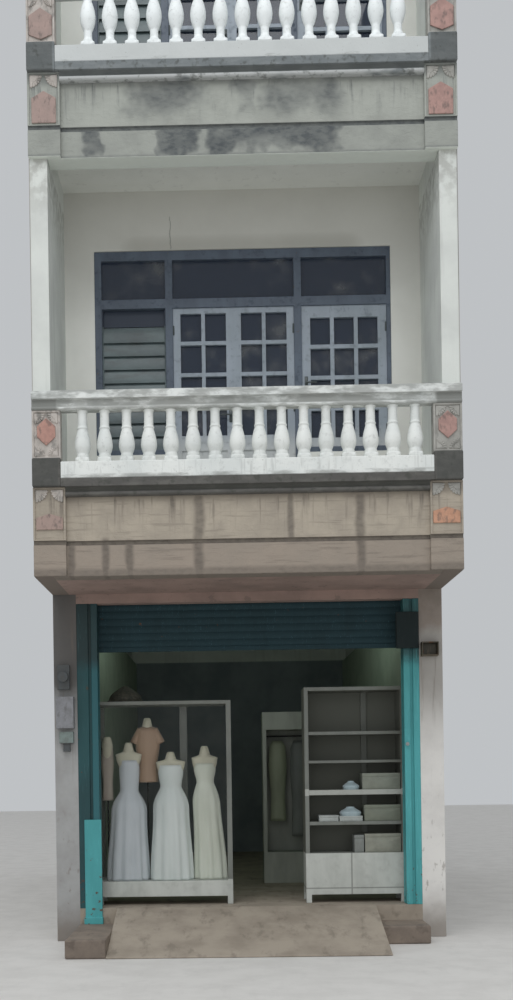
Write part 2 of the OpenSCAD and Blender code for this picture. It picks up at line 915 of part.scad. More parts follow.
module showcase() color("white") {
    z0 = shop_floor_level + furniture_foot;
    y1 = showcase_y + showcase_depth;
    feet(showcase_left, showcase_right, showcase_y, showcase_depth);
    block([showcase_left, showcase_y, z0], [showcase_right, y1, z0 + showcase_base]);
    block([showcase_left, showcase_y, showcase_top - showcase_head], [showcase_right, y1, showcase_top]);
    for (x = [showcase_left, showcase_right - showcase_post])
        for (y = [showcase_y, y1 - showcase_post])
            block([x, y, z0 + showcase_base],
                [x + showcase_post, y + showcase_post, showcase_top - showcase_head]);
    block([showcase_divider - divider_width/2, y1 - divider_depth, z0 + showcase_base],
        [showcase_divider + divider_width/2, y1, showcase_top - showcase_head]);
}

module showcase_glass() color("lightcyan", 0.3) {
    z0 = shop_floor_level + furniture_foot + showcase_base;
    z1 = showcase_top - showcase_head;
    y0 = showcase_y + showcase_pane_in;
    block([showcase_left + showcase_post, y0, z0],
        [showcase_right - showcase_post, y0 + glass_thickness, z1]);
    for (x = [showcase_left + showcase_pane_in, showcase_right - showcase_pane_in - glass_thickness])
        block([x, showcase_y + showcase_post, z0],
            [x + glass_thickness, showcase_y + showcase_depth - showcase_post, z1]);
}

shelf_left = 617;
shelf_right = 1720;
shelf_y = setback_y + 260;
shelf_depth = 450;
shelf_top = 2725;
shelf_base = 896;
shelf_board = 20;
shelf_side = 45;
batten_left = 1284;
batten_width = 63;
batten_depth = 25;

// Shelf boards as [underside, thickness]
boards = [[1204, 38], [1535, 56], [1886, 30], [2198, 36]];

// Sides, back, top, batten on the back, and closed lower part of the shelf unit
module shelf_case() color("white") {
    z0 = shop_floor_level + furniture_foot;
    y1 = shelf_y + shelf_depth;
    feet(shelf_left, shelf_right, shelf_y, shelf_depth);
    block([shelf_left, shelf_y, z0], [shelf_right, y1, shelf_base]);
    for (x = [shelf_left, shelf_right - shelf_side])
        block([x, shelf_y, shelf_base], [x + shelf_side, y1, shelf_top]);
    block([shelf_left + shelf_side, shelf_y, shelf_top - 2*shelf_board],
        [shelf_right - shelf_side, y1, shelf_top]);
    block([shelf_left + shelf_side, y1 - shelf_board, shelf_base],
        [shelf_right - shelf_side, y1, shelf_top - 2*shelf_board]);
    block([batten_left, y1 - shelf_board - batten_depth, shelf_base],
        [batten_left + batten_width, y1 - shelf_board, shelf_top - 2*shelf_board]);
}

module shelf_boards() color("white") {
    for (b = boards)
        block([shelf_left + shelf_side, shelf_y + 5, b[0]],
            [shelf_right - shelf_side, shelf_y + shelf_depth - shelf_board - batten_depth, b[0] + b[1]]);
}

// Boxed and folded goods as [left edge, right edge, level, height, depth]
goods = [
    [1154, 1262, shelf_base, 192, 260],
    [1270, 1670, shelf_base, 205, 300],
    [768, 984, boards[0][0] + boards[0][1], 68, 240],
    [994, 1250, boards[0][0] + boards[0][1], 58, 280],
    [1005, 1245, boards[0][0] + boards[0][1] + 58, 100, 240],
    [1268, 1670, boards[0][0] + boards[0][1], 178, 300],
    [1040, 1225, boards[1][0] + boards[1][1], 95, 200],
    [1250, 1670, boards[1][0] + boards[1][1], 178, 300]
];
goods_in = 20;

module shelf_goods() color("wheat") {
    for (g = goods)
        translate([g[0], shelf_y + goods_in, g[2]]) cube([g[1] - g[0], g[4], g[3]]);
}

basket_place = [-1385, showcase_y + 250, showcase_top];

// Upturned basket: low rim, domed top
basket = [[0, 222, 2], [0.12, 222, 2], [0.30, 205, 1], [1, 30, 1]];
basket_height = 190;

module dark_basket() color("saddlebrown") translate(basket_place) turned_form(basket, basket_height);

cabinet_left = 223;
cabinet_right = 1400;
cabinet_y = setback_y + 2600;
cabinet_depth = 450;
cabinet_top = 2570;
cabinet_side = 50;
cabinet_base = 400;
cabinet_fascia = 230;

module back_cabinet() color("silver") {
    y1 = cabinet_y + cabinet_depth;
    difference() {
        block([cabinet_left, cabinet_y, shop_floor_level], [cabinet_right, y1, cabinet_top]);
        block([cabinet_left + cabinet_side, cabinet_y - 1, shop_floor_level + cabinet_base],
            [cabinet_right - cabinet_side, y1 - shelf_board, cabinet_top - cabinet_fascia]);
    }
}

// Gowns on stands: the middle of each across the front, its height from hem to neck, its hem radius
gown_places = [[-1360, 1545, 235], [-868, 1420, 235], [-445, 1460, 180]];
gown_hem = shop_floor_level + furniture_foot + showcase_base;
gown_y = showcase_y + 257;

// Gown from hem to neck: skirt, waist, bust, shoulders, neck
function gown(hem) = [[0, hem, 2], [0.55, 0.83*hem, 1], [0.70, 105, 2], [0.85, 130, 2], [0.93, 120, 2],
    [0.96, 42, 2], [1, 32, 2]];

// Bodice on a pole behind the gowns, from its lower edge to its neck
bodice = [[0, 88, 2], [0.30, 82, 2], [0.66, 115, 2], [0.88, 100, 2], [0.94, 42, 2], [1, 32, 2]];
bodice_place = [-1092, showcase_y + 395, 1570];
bodice_height = 750;
pole_radius = 12;

module gowns() color("ivory") {
    for (place = gown_places)
        translate([place[0], gown_y, gown_hem]) turned_form(gown(place[2]), place[1]);
    translate(bodice_place) turned_form(bodice, bodice_height);
    translate([bodice_place[0], bodice_place[1], gown_hem])
        cylinder(r = pole_radius, h = bodice_place[2] - gown_hem);
}

shop_floor();
front_ramp();
side_steps();
left_shop_wall();
right_shop_wall();
left_upper_wall();
right_upper_wall();
shop_lintel();
front_ceilings();
second_floor();
third_floor();
roof_slab();
lower_band();
middle_band();
top_band();
cornices();
balustrade_plinths();
second_balusters();
third_balusters();
handrails();
pilasters();
pedestals();
pedestal_bases();
hexagon_plaques();
corner_fans();
second_loggia_wall();
third_loggia_wall();
second_window_frame();
third_window_frame();
balcony_doors();
casements();
louvre_blades();
second_glass();
third_glass();
left_shutter_rail();
right_shutter_rail();
rail_cover();
shutter_curtain();
shutter_bottom_bar();
shutter_end_box();
meter_box();
wall_bracket();
rear_wall();
rear_frames();
rear_glass();
parapets();
showcase();
showcase_glass();
shelf_case();
shelf_boards();
back_cabinet();
gowns();
shelf_goods();
dark_basket();
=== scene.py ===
"""The looks of a narrow three-storey shophouse: stained plaster, white balustrades, painted joinery,
a teal roller shutter, and the showcase, shelves and gowns behind it.

Metres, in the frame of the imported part: X across the front, Y from the street to the back, Z up.
"""
import json
import math

import bmesh
import bpy
import numpy as np
from mathutils import Matrix, Vector


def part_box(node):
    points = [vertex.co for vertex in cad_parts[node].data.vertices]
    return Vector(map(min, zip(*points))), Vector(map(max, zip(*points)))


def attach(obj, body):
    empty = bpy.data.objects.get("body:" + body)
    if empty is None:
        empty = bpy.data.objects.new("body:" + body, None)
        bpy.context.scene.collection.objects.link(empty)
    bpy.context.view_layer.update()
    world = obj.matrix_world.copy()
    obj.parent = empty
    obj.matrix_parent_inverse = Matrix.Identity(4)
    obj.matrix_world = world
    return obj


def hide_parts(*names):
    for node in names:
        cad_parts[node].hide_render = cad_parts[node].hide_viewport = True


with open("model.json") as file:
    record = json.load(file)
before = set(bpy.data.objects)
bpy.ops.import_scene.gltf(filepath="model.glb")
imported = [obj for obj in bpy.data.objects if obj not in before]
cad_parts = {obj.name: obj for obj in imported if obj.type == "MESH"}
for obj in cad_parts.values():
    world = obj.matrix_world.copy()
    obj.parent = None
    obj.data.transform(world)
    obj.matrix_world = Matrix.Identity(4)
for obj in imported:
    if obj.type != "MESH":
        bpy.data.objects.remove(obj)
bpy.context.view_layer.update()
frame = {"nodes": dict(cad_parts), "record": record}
nodes = frame["nodes"]

# Places, read from the frame

BANDS = [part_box(name)[0].z for name in ("lower_band", "middle_band", "top_band")]
STOREY = BANDS[1] - BANDS[0]
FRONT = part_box("lower_band")[0].y
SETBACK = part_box("second_loggia_wall")[0].y
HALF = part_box("right_upper_wall")[1].x
SHOP_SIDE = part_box("right_shop_wall")[1].x
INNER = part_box("right_upper_wall")[0].x
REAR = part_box("rear_wall")[1].y
FLOORS = [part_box(name)[1].z for name in ("second_floor", "third_floor")]

# Mouldings, in metres above the underside of the lowest band; those of the upper bands sit DROP lower

DROP = 0.045
GROOVE = 0.305
CORNICE = 0.778
FASCIA = 0.870
PLINTH = 0.947
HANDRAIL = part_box("handrails")[0].z - BANDS[0]

# Top of the uppermost louvre blade above the floor, where the fixed pane begins

TOP_PANE = 2.012

# Shop furniture: X between the showcase and the shelf unit, the height up to which the showcase is closed,
# and how much higher the shelf unit is. On the shelf unit the right end of the drawer, the joint below
# it, both sides of the batten on the back, the bright board, and the tops of the closed part and boards

AISLE = (0.2, 0.3)
CLOSED_TOP = 0.62
UNIT_RISE = 0.27
DRAWER_END = 1.12
DRAWER_JOINT = (0.505, 0.515)
BATTEN = (1.284, 1.347)
BRIGHT_BOARD = (1.53, 1.6)
BOARDS = (0.896, 1.242, 1.591)

# X of the groove in the left shutter rail, heights between which painted shade sets in on the steel, and
# heights of the gaps over the valve, the small box and the cable box of the meter

RAIL_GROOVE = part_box("left_shutter_rail")[0].x + 0.15
SHADE_RISE = (2.88, 3.08)
VALVE_GAP, BOX_GAP, METER_GAP = 2.15, 2.28, 2.69

# Crack in the wall behind the balconies: its X, and its ends above the floor

CRACK_X = -0.77
CRACK_ENDS = (2.83, 3.16)

# Stains of the upper bands above and below the groove, as left edge, right edge and softness, and runs of
# water on the lower band, as X, width, and foot and top above its underside

HIGH_STAINS = ((-0.98, -0.56, 0.24), (-0.03, 0.06, 0.16), (0.38, 0.9, 0.26))
LOW_STAINS = ((-1.5, -1.38, 0.1), (-0.8, -0.54, 0.14), (-0.25, 0.92, 0.18))
WATER_RUNS = ((-1.74, 0.06, 0.0, 0.32), (-1.4, 0.06, 0.0, 0.34), (-1.16, 0.06, 0.0, 0.32),
    (-0.48, 0.08, 0.0, 0.76), (1.1, 0.07, 0.0, 0.74), (0.42, 0.05, 0.35, 0.76))


# Finishes


class Output:
    """What a node of a finish puts out. Reckoning with it adds further nodes."""

    def __init__(self, finish, socket):
        self.finish = finish
        self.socket = socket

    def maths(self, operation, *numbers):
        return self.finish.node("Math", dict(enumerate(numbers)), operation=operation)

    def __add__(self, other):
        return self.maths("ADD", self, other)

    def __sub__(self, other):
        return self.maths("SUBTRACT", self, other)

    def __rsub__(self, other):
        return self.maths("SUBTRACT", other, self)

    def __mul__(self, other):
        return self.maths("MULTIPLY", self, other)

    def __mod__(self, other):
        return self.maths("FLOORED_MODULO", self, other)

    def __abs__(self):
        return self.maths("ABSOLUTE", self)

    def rise(self, start, end, top=1.0):
        """0 at start and top at end, eased; start may be the larger one."""
        inputs = dict(enumerate((self, start, end, 0.0, top)))
        return self.finish.node("MapRange", inputs, interpolation_type="SMOOTHSTEP")

    def between(self, low, high, soft):
        """1 between low and high, falling to 0 over soft outside them."""
        return self.rise(low - soft, low) * self.rise(high + soft, high)


class Finish:
    """A material being built. Its colour starts with mix and grows coat by coat."""

    def __init__(self, name, roughness):
        self.material = bpy.data.materials.new(name)
        self.material.use_nodes = True
        self.tree = self.material.node_tree
        self.shader = next(n for n in self.tree.nodes if n.type == "BSDF_PRINCIPLED")
        self.shader.inputs["Roughness"].default_value = roughness
        self.place = self.node("TexCoord", {}, "Object")
        parts = self.node("SeparateXYZ", {0: self.place}).socket.node
        self.x, self.y, self.z = (Output(self, socket) for socket in parts.outputs)
        self.colour = None

    def feed(self, socket, value):
        """Joins an output to a socket, or sets the socket's own value."""
        if isinstance(value, Output):
            self.tree.links.new(value.socket, socket)
        elif isinstance(value, tuple) and socket.type == "RGBA":
            socket.default_value = (*value, 1.0)
        else:
            socket.default_value = value

    def node(self, kind, inputs, out=0, **settings):
        """Adds a node with its settings, feeds its inputs and gives one of its outputs."""
        node = self.tree.nodes.new("ShaderNode" + kind)
        for name, value in settings.items():
            setattr(node, name, value)
        for key, value in inputs.items():
            self.feed(node.inputs[key], value)
        return Output(self, node.outputs[out])

    def most(self, *shares):
        """Largest of several shares."""
        out = shares[0]
        for share in shares[1:]:
            out = out.maths("MAXIMUM", out, share)
        return out

    def cloud(self, size, detail=4, stretch=(1, 1, 1), shift=0, warp=0.0, grit=0.6):
        """Blotches about size metres across, made longer by stretch along each axis."""
        place = self.node("Mapping", {"Vector": self.place, "Scale": [1.0 / (size * s) for s in stretch],
            "Location": (shift, 1.7 * shift, 2.3 * shift)})
        return self.node("TexNoise", {"Vector": place, "Scale": 1.0, "Detail": detail, "Roughness": grit,
            "Distortion": warp}, "Fac")

    def tone(self, *blotch):
        """Share of a finish's second colour, in soft patches; the numbers are those of a cloud."""
        return self.cloud(*blotch).rise(0.35, 0.7)

    def mix(self, share, a, b):
        """Colour a where share is 0 and b where it is 1."""
        return self.node("Mix", {0: share, 6: a, 7: b}, 2, data_type="RGBA")

    def coat(self, share, paint):
        """Lays a further colour over the finish, as far as its share."""
        self.colour = self.mix(share, self.colour, paint)

    def drips(self, width, low=0.5, high=0.68, shift=0):
        """Runs of water: narrow across the wall and long down it."""
        return self.cloud(width, 3, (1, 1, 14), shift, 0.3).rise(low, high)

    def run(self, x, width, foot, top):
        """One run of water down a wall at x, wavering a little, between two heights."""
        sway = self.cloud(0.35, 2, (1, 1, 1), 5) - 0.5
        off = abs(self.x - x + sway * width)
        return off.rise(width, width * 0.25) * self.z.between(foot, top, 0.06)

    def done(self, height, depth, roughness=None):
        """Joins colour, bump and roughness to the shader and gives the material."""
        self.feed(self.shader.inputs["Base Color"], self.colour)
        if roughness is not None:
            self.feed(self.shader.inputs["Roughness"], roughness)
        bump = self.node("Bump", {"Strength": 1.0, "Distance": depth, "Height": height})
        self.feed(self.shader.inputs["Normal"], bump)
        return self.material


def trowelled(finish, fine=0.012, broad=0.35):
    """Height of hand-laid plaster: broad waves with a fine sand grain."""
    return finish.cloud(broad, 3) + finish.cloud(fine, 2) * 0.25


def storey_height(finish):
    """Height above the underside of the nearest band below, on the bands and balustrades."""
    return (finish.z - BANDS[0]) % STOREY


def over_upper_bands(finish):
    """1 from the underside of the middle band upwards and 0 below it."""
    return finish.z.rise(BANDS[1] - 0.32, BANDS[1] - 0.3)


def moulding_height(finish):
    """Height on the scale of the mouldings, which start DROP lower on the upper bands."""
    return storey_height(finish) + over_upper_bands(finish) * DROP


def floor_height(finish):
    """Height above the floor of the storey, on the walls and joinery behind the balconies."""
    return (finish.z - FLOORS[0]) % STOREY


def band_plaster():
    """Plaster of the bands: brown and run down by water below, grey and mouldy on the upper bands,
    whose undersides are painted white. Just under each cornice the band is darkened by painted shade."""
    f = Finish("band_plaster", 0.92)
    u = moulding_height(f)
    upper = over_upper_bands(f)
    low_strip = u.rise(GROOVE + 0.02, GROOVE)
    brown = f.mix(low_strip, (0.47, 0.413, 0.334), (0.355, 0.299, 0.247))
    bare = f.mix(upper, brown, (0.41, 0.425, 0.385))
    tone = f.cloud(0.28, 6).rise(0.32, 0.68)
    shade = f.mix(upper, (0.3, 0.262, 0.22), (0.285, 0.295, 0.27))
    f.colour = f.mix(tone * 0.5, bare, shade)
    grain = f.cloud(0.05, 6, (1.5, 1.5, 0.8), 14).rise(0.42, 0.66)
    blotch = f.cloud(0.3, 3, (1.2, 1.6, 0.9), 3, 0.2, 0.5).rise(0.25, 0.6, 0.5) + 0.5
    sway = f.cloud(0.25, 2.5, (1, 1, 1.2), 9) - 0.5
    across = f.x + sway * 0.6
    up = u + sway * 0.5
    spread = f.most(*[across.between(*stain) for stain in HIGH_STAINS])
    high_stain = blotch * spread * upper * up.rise(GROOVE + 0.02, GROOVE + 0.36)
    washed = f.most(*[across.between(*stain) for stain in LOW_STAINS])
    low_stain = washed * low_strip * upper * up.rise(DROP - 0.08, DROP + 0.06) * blotch
    water = f.most(*[f.run(x, width, BANDS[0] + foot, BANDS[0] + top) for x, width, foot, top in WATER_RUNS])
    drips = f.drips(0.05, 0.5, 0.72) * u.rise(0.3, 0.78) * 0.7
    lines = f.cloud(0.035, 3, (16, 16, 1), 4).rise(0.54, 0.66) * (1.0 - upper) * 0.28
    joint = u.between(GROOVE, GROOVE + 0.04, 0.006) * 0.8
    # Painted shade: the top strip of each band, just under its cornice, is darkened
    top_shade = u.rise(CORNICE - 0.07, CORNICE + 0.01) * 0.45
    edge = u.rise(DROP + 0.05, DROP) * 0.5
    faint = upper * low_strip * 0.16
    # Dirt, stains and water runs, together with the painted shade under the cornice
    dirt = f.most(high_stain * 0.74, low_stain * 0.9, water * 0.66, drips, lines, joint, edge, top_shade, faint)
    f.coat(dirt * (grain * 0.2 + 0.85), f.mix(upper, (0.1, 0.086, 0.074), (0.068, 0.078, 0.086)))
    under = f.most(*[f.z.between(level - 0.01, level + 0.002, 0.003) for level in BANDS[1:]])
    f.coat(under, (0.73, 0.77, 0.71))
    cracks = f.cloud(0.5, 6, warp=1.5).rise(0.495, 0.505)
    height = trowelled(f) + (cracks * 0.2 + grain * 0.25)
    return f.done(height, 0.006)


def stained_plaster():
    """Cornices and blocks black with mould, paler along the bead and where the rain washes them."""
    f = Finish("stained_plaster", 0.95)
    u = moulding_height(f)
    upper = over_upper_bands(f)
    dark = f.mix(upper, (0.105, 0.102, 0.095), (0.185, 0.205, 0.212))
    worn = f.cloud(0.12, 6, (2.2, 2.2, 0.8)).rise(0.42, 0.66)
    f.colour = f.mix(worn * 0.55, dark, f.mix(upper, (0.18, 0.175, 0.16), (0.285, 0.305, 0.308)))
    bead = u.between(CORNICE, CORNICE + 0.046, 0.006) * upper.rise(-0.05, 1.0)
    f.coat(bead * f.cloud(0.3, 3, (2, 1, 1), 2).rise(0.34, 0.48), (0.5, 0.515, 0.51))
    cove = u.between(CORNICE + 0.05, FASCIA - 0.01, 0.01) * 0.5
    moss = f.cloud(0.07, 5, shift=6).rise(0.52, 0.66)
    f.coat(f.most(moss * 0.55, cove), (0.058, 0.062, 0.052))
    block = abs(f.x).rise(INNER - 0.09, INNER - 0.07) * 0.55
    f.coat(block, (0.072, 0.076, 0.072))
    return f.done(trowelled(f, 0.01, 0.12), 0.008)


def white_masonry():
    """White masonry paint on the balustrades, greyed by rain in the hollows and on the flat tops; on the
    recessed face under the handrail the grey is dirt and painted shade.
    """
    f = Finish("white_masonry", 0.6)
    u = moulding_height(f)
    tone = f.tone(0.4, 4)
    cool = over_upper_bands(f)
    f.colour = f.mix(tone, f.mix(cool, (0.84, 0.86, 0.83), (0.91, 0.95, 0.95)),
        f.mix(cool, (0.73, 0.76, 0.74), (0.84, 0.88, 0.88)))
    runs = f.drips(0.03, 0.52, 0.7) * u.rise(PLINTH + 0.4, PLINTH) * 0.28
    dirt_and_recess_shade = f.cloud(0.12, 4, (3, 1, 1), 2).rise(0.3, 0.55, 0.75)
    # Dirt and painted shade: the recessed face under the handrail's top is greyed in patches
    face = u.between(HANDRAIL + 0.03, HANDRAIL + 0.1, 0.008) * dirt_and_recess_shade
    rail = u.rise(HANDRAIL - 0.01, HANDRAIL) * f.cloud(0.07, 5, (3, 1, 1), 5).rise(0.34, 0.6, 0.62)
    ends = abs(f.x).rise(INNER - 0.12, INNER - 0.05) * u.between(HANDRAIL - 0.02, HANDRAIL + 0.1, 0.01) * 0.9
    foot = u.between(PLINTH - 0.02, PLINTH + 0.03, 0.02) * f.cloud(0.1, 4, (3, 1, 1), 9).rise(0.4, 0.62, 0.6)
    grime = f.cloud(0.05, 4, shift=9).rise(0.52, 0.75) * 0.26
    chips = f.cloud(0.02, 3, shift=12).rise(0.69, 0.72)
    plinth = u.between(PLINTH - 0.02, PLINTH + 0.17, 0.01)
    dull = plinth * f.z.rise(BANDS[0] + 2.0, BANDS[1]) * 0.45
    dirt = f.most(runs, face, rail, grime, ends, foot, dull)
    f.coat(dirt, (0.2, 0.205, 0.19))
    f.coat(chips * 0.6, (0.22, 0.21, 0.19))
    rough = dirt.rise(0.0, 0.6, 0.35) + 0.55
    return f.done(trowelled(f, 0.008, 0.06), 0.0025, rough)


def loggia_paint():
    """Aged white wall paint behind the balconies, browned over the windows, darkened up towards the
    ceiling by painted shade, and damp at the foot."""
    f = Finish("loggia_paint", 0.8)
    h = floor_height(f)
    f.colour = f.mix(f.tone(0.6, 5), (0.91, 0.91, 0.86), (0.85, 0.85, 0.8))
    # Painted shade: the wall darkens upwards towards the ceiling
    ceiling_shade = h.rise(1.6, 3.1) * 0.44
    above = f.x.between(-1.1, 1.1, 0.6) * h.between(2.55, 2.85, 0.35) * 0.62
    runs = f.drips(0.1, 0.5, 0.72) * h.rise(1.6, 3.3) * 0.16
    right = f.x.rise(1.0, 2.0, 0.26)
    foot = h.rise(0.4, 0.05) * f.cloud(0.2, 4, shift=3).rise(0.4, 0.6) * 0.4
    f.coat(f.most(ceiling_shade, above, runs, foot, right), (0.29, 0.28, 0.24))
    sway = (f.cloud(0.12, 3) - 0.5) * 0.05
    crack = abs(f.x - CRACK_X + sway).rise(0.006, 0.002) * h.between(*CRACK_ENDS, 0.02)
    f.coat(crack * 0.5, (0.16, 0.16, 0.15))
    return f.done(trowelled(f) - crack, 0.003)


def party_plaster():
    """Upper side walls: white paint towards the street, bare grey render outside and on the roof."""
    f = Finish("party_plaster", 0.88)
    outside = abs(f.x).rise(HALF - 0.012, HALF - 0.004)
    high = f.z.rise(BANDS[2] + 0.7, BANDS[2] + 0.75)
    behind = f.y.rise(REAR - 0.2, REAR - 0.05)
    bare = f.most(outside, high, behind)
    tone = f.tone(0.5, 5)
    white = f.mix(tone, (0.74, 0.765, 0.725), (0.655, 0.675, 0.645))
    grey = f.mix(f.cloud(0.9, 6, shift=2).rise(0.35, 0.65), (0.4, 0.39, 0.36), (0.28, 0.27, 0.25))
    runs = f.drips(0.12, 0.5, 0.7) * 0.5
    stain = storey_height(f).rise(3.3, 4.1) * f.cloud(0.12, 5, shift=6).rise(0.38, 0.6) * 0.5
    f.colour = f.mix(bare, f.mix(f.most(runs * 0.35, stain), white, (0.27, 0.265, 0.235)),
        f.mix(runs, grey, (0.13, 0.13, 0.12)))
    low = f.z.rise(BANDS[0] + 0.03, BANDS[0] + 0.01)
    f.coat(low * f.y.rise(REAR - 0.25, REAR - 0.35), (0.2, 0.165, 0.14))
    indoors = low * f.y.rise(REAR - 0.25, REAR - 0.22) * f.y.rise(REAR - 0.15, REAR - 0.18)
    f.coat(indoors, f.mix(tone, (0.3, 0.33, 0.36), (0.22, 0.25, 0.275)))
    lift = f.cloud(0.02, 3, (1, 60, 1), 7).rise(0.5, 0.6) * bare * 0.2
    return f.done(trowelled(f) + lift, 0.006)


def shop_plaster():
    """Ground floor walls: greyed white, brown under the overhang, darkened by painted shade towards the
    tops of the piers, damp at the foot; dim green indoors.
    """
    f = Finish("shop_plaster", 0.85)
    tone = f.tone(0.35, 6)
    left = f.mix(tone, (0.42, 0.425, 0.42), (0.34, 0.335, 0.33))
    right = f.mix(tone, (0.82, 0.8, 0.765), (0.72, 0.7, 0.67))
    pale = f.mix(f.x.rise(-0.5, 0.5), left, right)
    brown = f.mix(tone, (0.31, 0.265, 0.23), (0.235, 0.2, 0.17))
    level = f.z + (f.cloud(0.2, 4, shift=2) - 0.5) * 0.25
    # Painted shade: the right pier darkens upwards from 1.9 m and the left one from 2.4 m, under the
    # overhang
    right_pier_shade = f.x.rise(1.0, 1.5) * f.z.rise(1.9, 2.9) * 0.58
    top_shade = f.x.rise(-1.0, -1.5) * level.rise(2.4, 2.85) * 0.93
    f.colour = f.mix(top_shade, f.mix(right_pier_shade, pale, (0.12, 0.1, 0.075)), (0.1, 0.095, 0.09))
    over = level.rise(3.24, 3.4) * f.x.rise(-2.1, -1.0)
    f.coat(over, brown)
    damp = level.rise(0.55, 0.05) * 0.75
    rust = f.drips(0.06, 0.56, 0.7, 3) * f.z.rise(1.2, 3.2) * 0.5
    scuffs = f.cloud(0.06, 5, (1, 1, 2.5), 5).rise(0.58, 0.68) * f.z.rise(2.2, 0.4) * 0.55
    f.coat(f.most(damp, rust, scuffs), (0.2, 0.165, 0.135))
    inside = f.y.rise(SETBACK + 0.05, SETBACK + 0.15)
    room = f.mix(tone, (0.44, 0.5, 0.41), (0.36, 0.42, 0.34))
    outside = abs(f.x).rise(SHOP_SIDE - 0.012, SHOP_SIDE - 0.004)
    runs = f.drips(0.12, 0.5, 0.7) * 0.5
    bare = f.mix(runs, f.mix(tone, (0.42, 0.41, 0.38), (0.29, 0.28, 0.26)), (0.13, 0.13, 0.12))
    f.coat(inside, f.mix(outside, room, bare))
    return f.done(trowelled(f), 0.004)


def slab_concrete():
    """Painted concrete: brown and peeling under the overhang, grey on the roof, pale elsewhere."""
    f = Finish("slab_concrete", 0.9)
    tone = f.cloud(0.45, 6).rise(0.35, 0.68)
    pale = f.mix(tone, (0.82, 0.83, 0.785), (0.78, 0.79, 0.745))
    brown = f.mix(tone, (0.365, 0.26, 0.223), (0.274, 0.2, 0.173))
    grey = f.mix(f.cloud(0.8, 6, shift=5).rise(0.38, 0.62), (0.3, 0.3, 0.29), (0.16, 0.16, 0.155))
    low = f.z.rise(BANDS[0] + 0.5, BANDS[0] + 0.2)
    roof = f.z.rise(BANDS[2] + 0.8, BANDS[2] + 0.86)
    f.colour = f.mix(roof, f.mix(low, pale, brown), grey)
    peel = f.cloud(0.1, 6, shift=3).rise(0.6, 0.64) * f.most(low, roof, 0.25)
    f.coat(peel * 0.35, (0.12, 0.11, 0.1))
    return f.done(trowelled(f) - peel * 0.4, 0.005)


def grey_plaster():
    """Pedestals and shells: pale grey cement, mouldy in spots and darker towards the right."""
    f = Finish("grey_plaster", 0.9)
    tone = f.tone(0.14, 6)
    f.colour = f.mix(tone, (0.6, 0.585, 0.54), (0.43, 0.415, 0.38))
    f.coat(f.x.rise(0.5, -0.5), f.mix(tone, (0.56, 0.515, 0.475), (0.44, 0.405, 0.37)))
    mould = f.cloud(0.09, 5, (1, 1, 1.6), 4).rise(0.5, 0.64)
    right = f.x.rise(1.0, 2.0, 0.35)
    f.coat(f.most(mould * 0.5, right), (0.085, 0.09, 0.085))
    return f.done(trowelled(f, 0.01, 0.08), 0.004)


def terracotta():
    """Plaques of coloured cement: brick red above, orange on the lowest right one, faded and dirty."""
    f = Finish("terracotta", 0.8)
    tone = f.tone(0.08, 6)
    red = f.mix(tone, (0.46, 0.285, 0.25), (0.36, 0.225, 0.2))
    orange = f.mix(tone, (0.6, 0.33, 0.22), (0.48, 0.26, 0.17))
    low = f.z.rise(BANDS[0] + 0.92, BANDS[0] + 0.85)
    f.colour = f.mix(low * f.x.rise(0.0, 0.5), red, orange)
    left = f.x.rise(0.5, -0.5)
    over = f.z.rise(BANDS[1] - 0.6, BANDS[1] - 0.5)
    vivid = left * (1.0 - over) * 0.5
    f.coat(vivid, f.mix(tone, (0.56, 0.29, 0.22), (0.44, 0.23, 0.18)))
    f.coat(left * f.most(low * 0.6, over * 0.5), (0.34, 0.3, 0.27))
    dirt = f.cloud(0.05, 5, (1, 1, 2), 3).rise(0.5, 0.66) * 0.6
    f.coat(dirt, (0.12, 0.105, 0.095))
    return f.done(trowelled(f, 0.006, 0.05), 0.002)


def oil_paint(name, light, dark, dirty, wear, low_panel_light=None):
    """Brushed paint over wood: long faint brush marks, grime, and dark wood at worn spots. Where two
    paler colours are given, the lower panels of the leaves have them: painted light against the shade
    that falls on them behind the balustrade."""
    f = Finish(name, 0.45)
    tone = f.tone(0.25, 4, (1, 1, 3))
    f.colour = f.mix(tone, light, dark)
    # Painted light: the lower panels are paler, against the shade behind the balustrade
    if low_panel_light:
        f.coat(floor_height(f).rise(0.95, 0.55), f.mix(tone, *low_panel_light))
    grime = f.cloud(0.06, 5, shift=4).rise(0.52, 0.7) * 0.35
    f.coat(grime, dirty)
    chips = f.cloud(0.03, 4, (1, 1, 2), 7).rise(0.7 - wear, 0.73 - wear)
    f.coat(chips * 0.8, (0.13, 0.1, 0.08))
    height = f.cloud(0.006, 2, (1, 1, 12)) - chips
    return f.done(height, 0.0006, grime.rise(0.0, 0.35, 0.35) + 0.42)


def metal_paint(name, light, dark, rust_share, gloss=0.55, strip=None):
    """Sheet steel paint: faded patches, scratches along the height, rust near the foot, and painted shade
    where it runs up behind the shutter box. The strip is a paler colour right of the groove of the
    left rail."""
    f = Finish(name, gloss)
    f.colour = f.mix(f.tone(0.3, 4, (1, 1, 4)), light, dark)
    if strip:
        f.coat(f.x.rise(RAIL_GROOVE, RAIL_GROOVE + 0.01), strip)
    # Painted shade: every steel darkens above these heights, where it runs up behind the shutter box
    shade_edge = f.z + (f.cloud(0.05, 3) - 0.5) * 0.1
    f.coat(shade_edge.rise(*SHADE_RISE, 0.75), (0.008, 0.02, 0.021))
    scratches = f.cloud(0.006, 2, (1, 1, 30), 5).rise(0.64, 0.7) * 0.4
    f.coat(scratches, tuple(min(1.0, 1.6 * c + 0.05) for c in light))
    near_foot = f.z.rise(1.2, 0.3) * 0.1
    spots = f.cloud(0.06, 6, shift=3) + near_foot
    rust = spots.rise(0.7 - rust_share, 0.74 - rust_share)
    f.coat(rust * 0.85, (0.13, 0.055, 0.025))
    height = f.cloud(0.12, 2) + rust * 0.3
    return f.done(height, 0.0012, rust * (0.9 - gloss) + gloss)


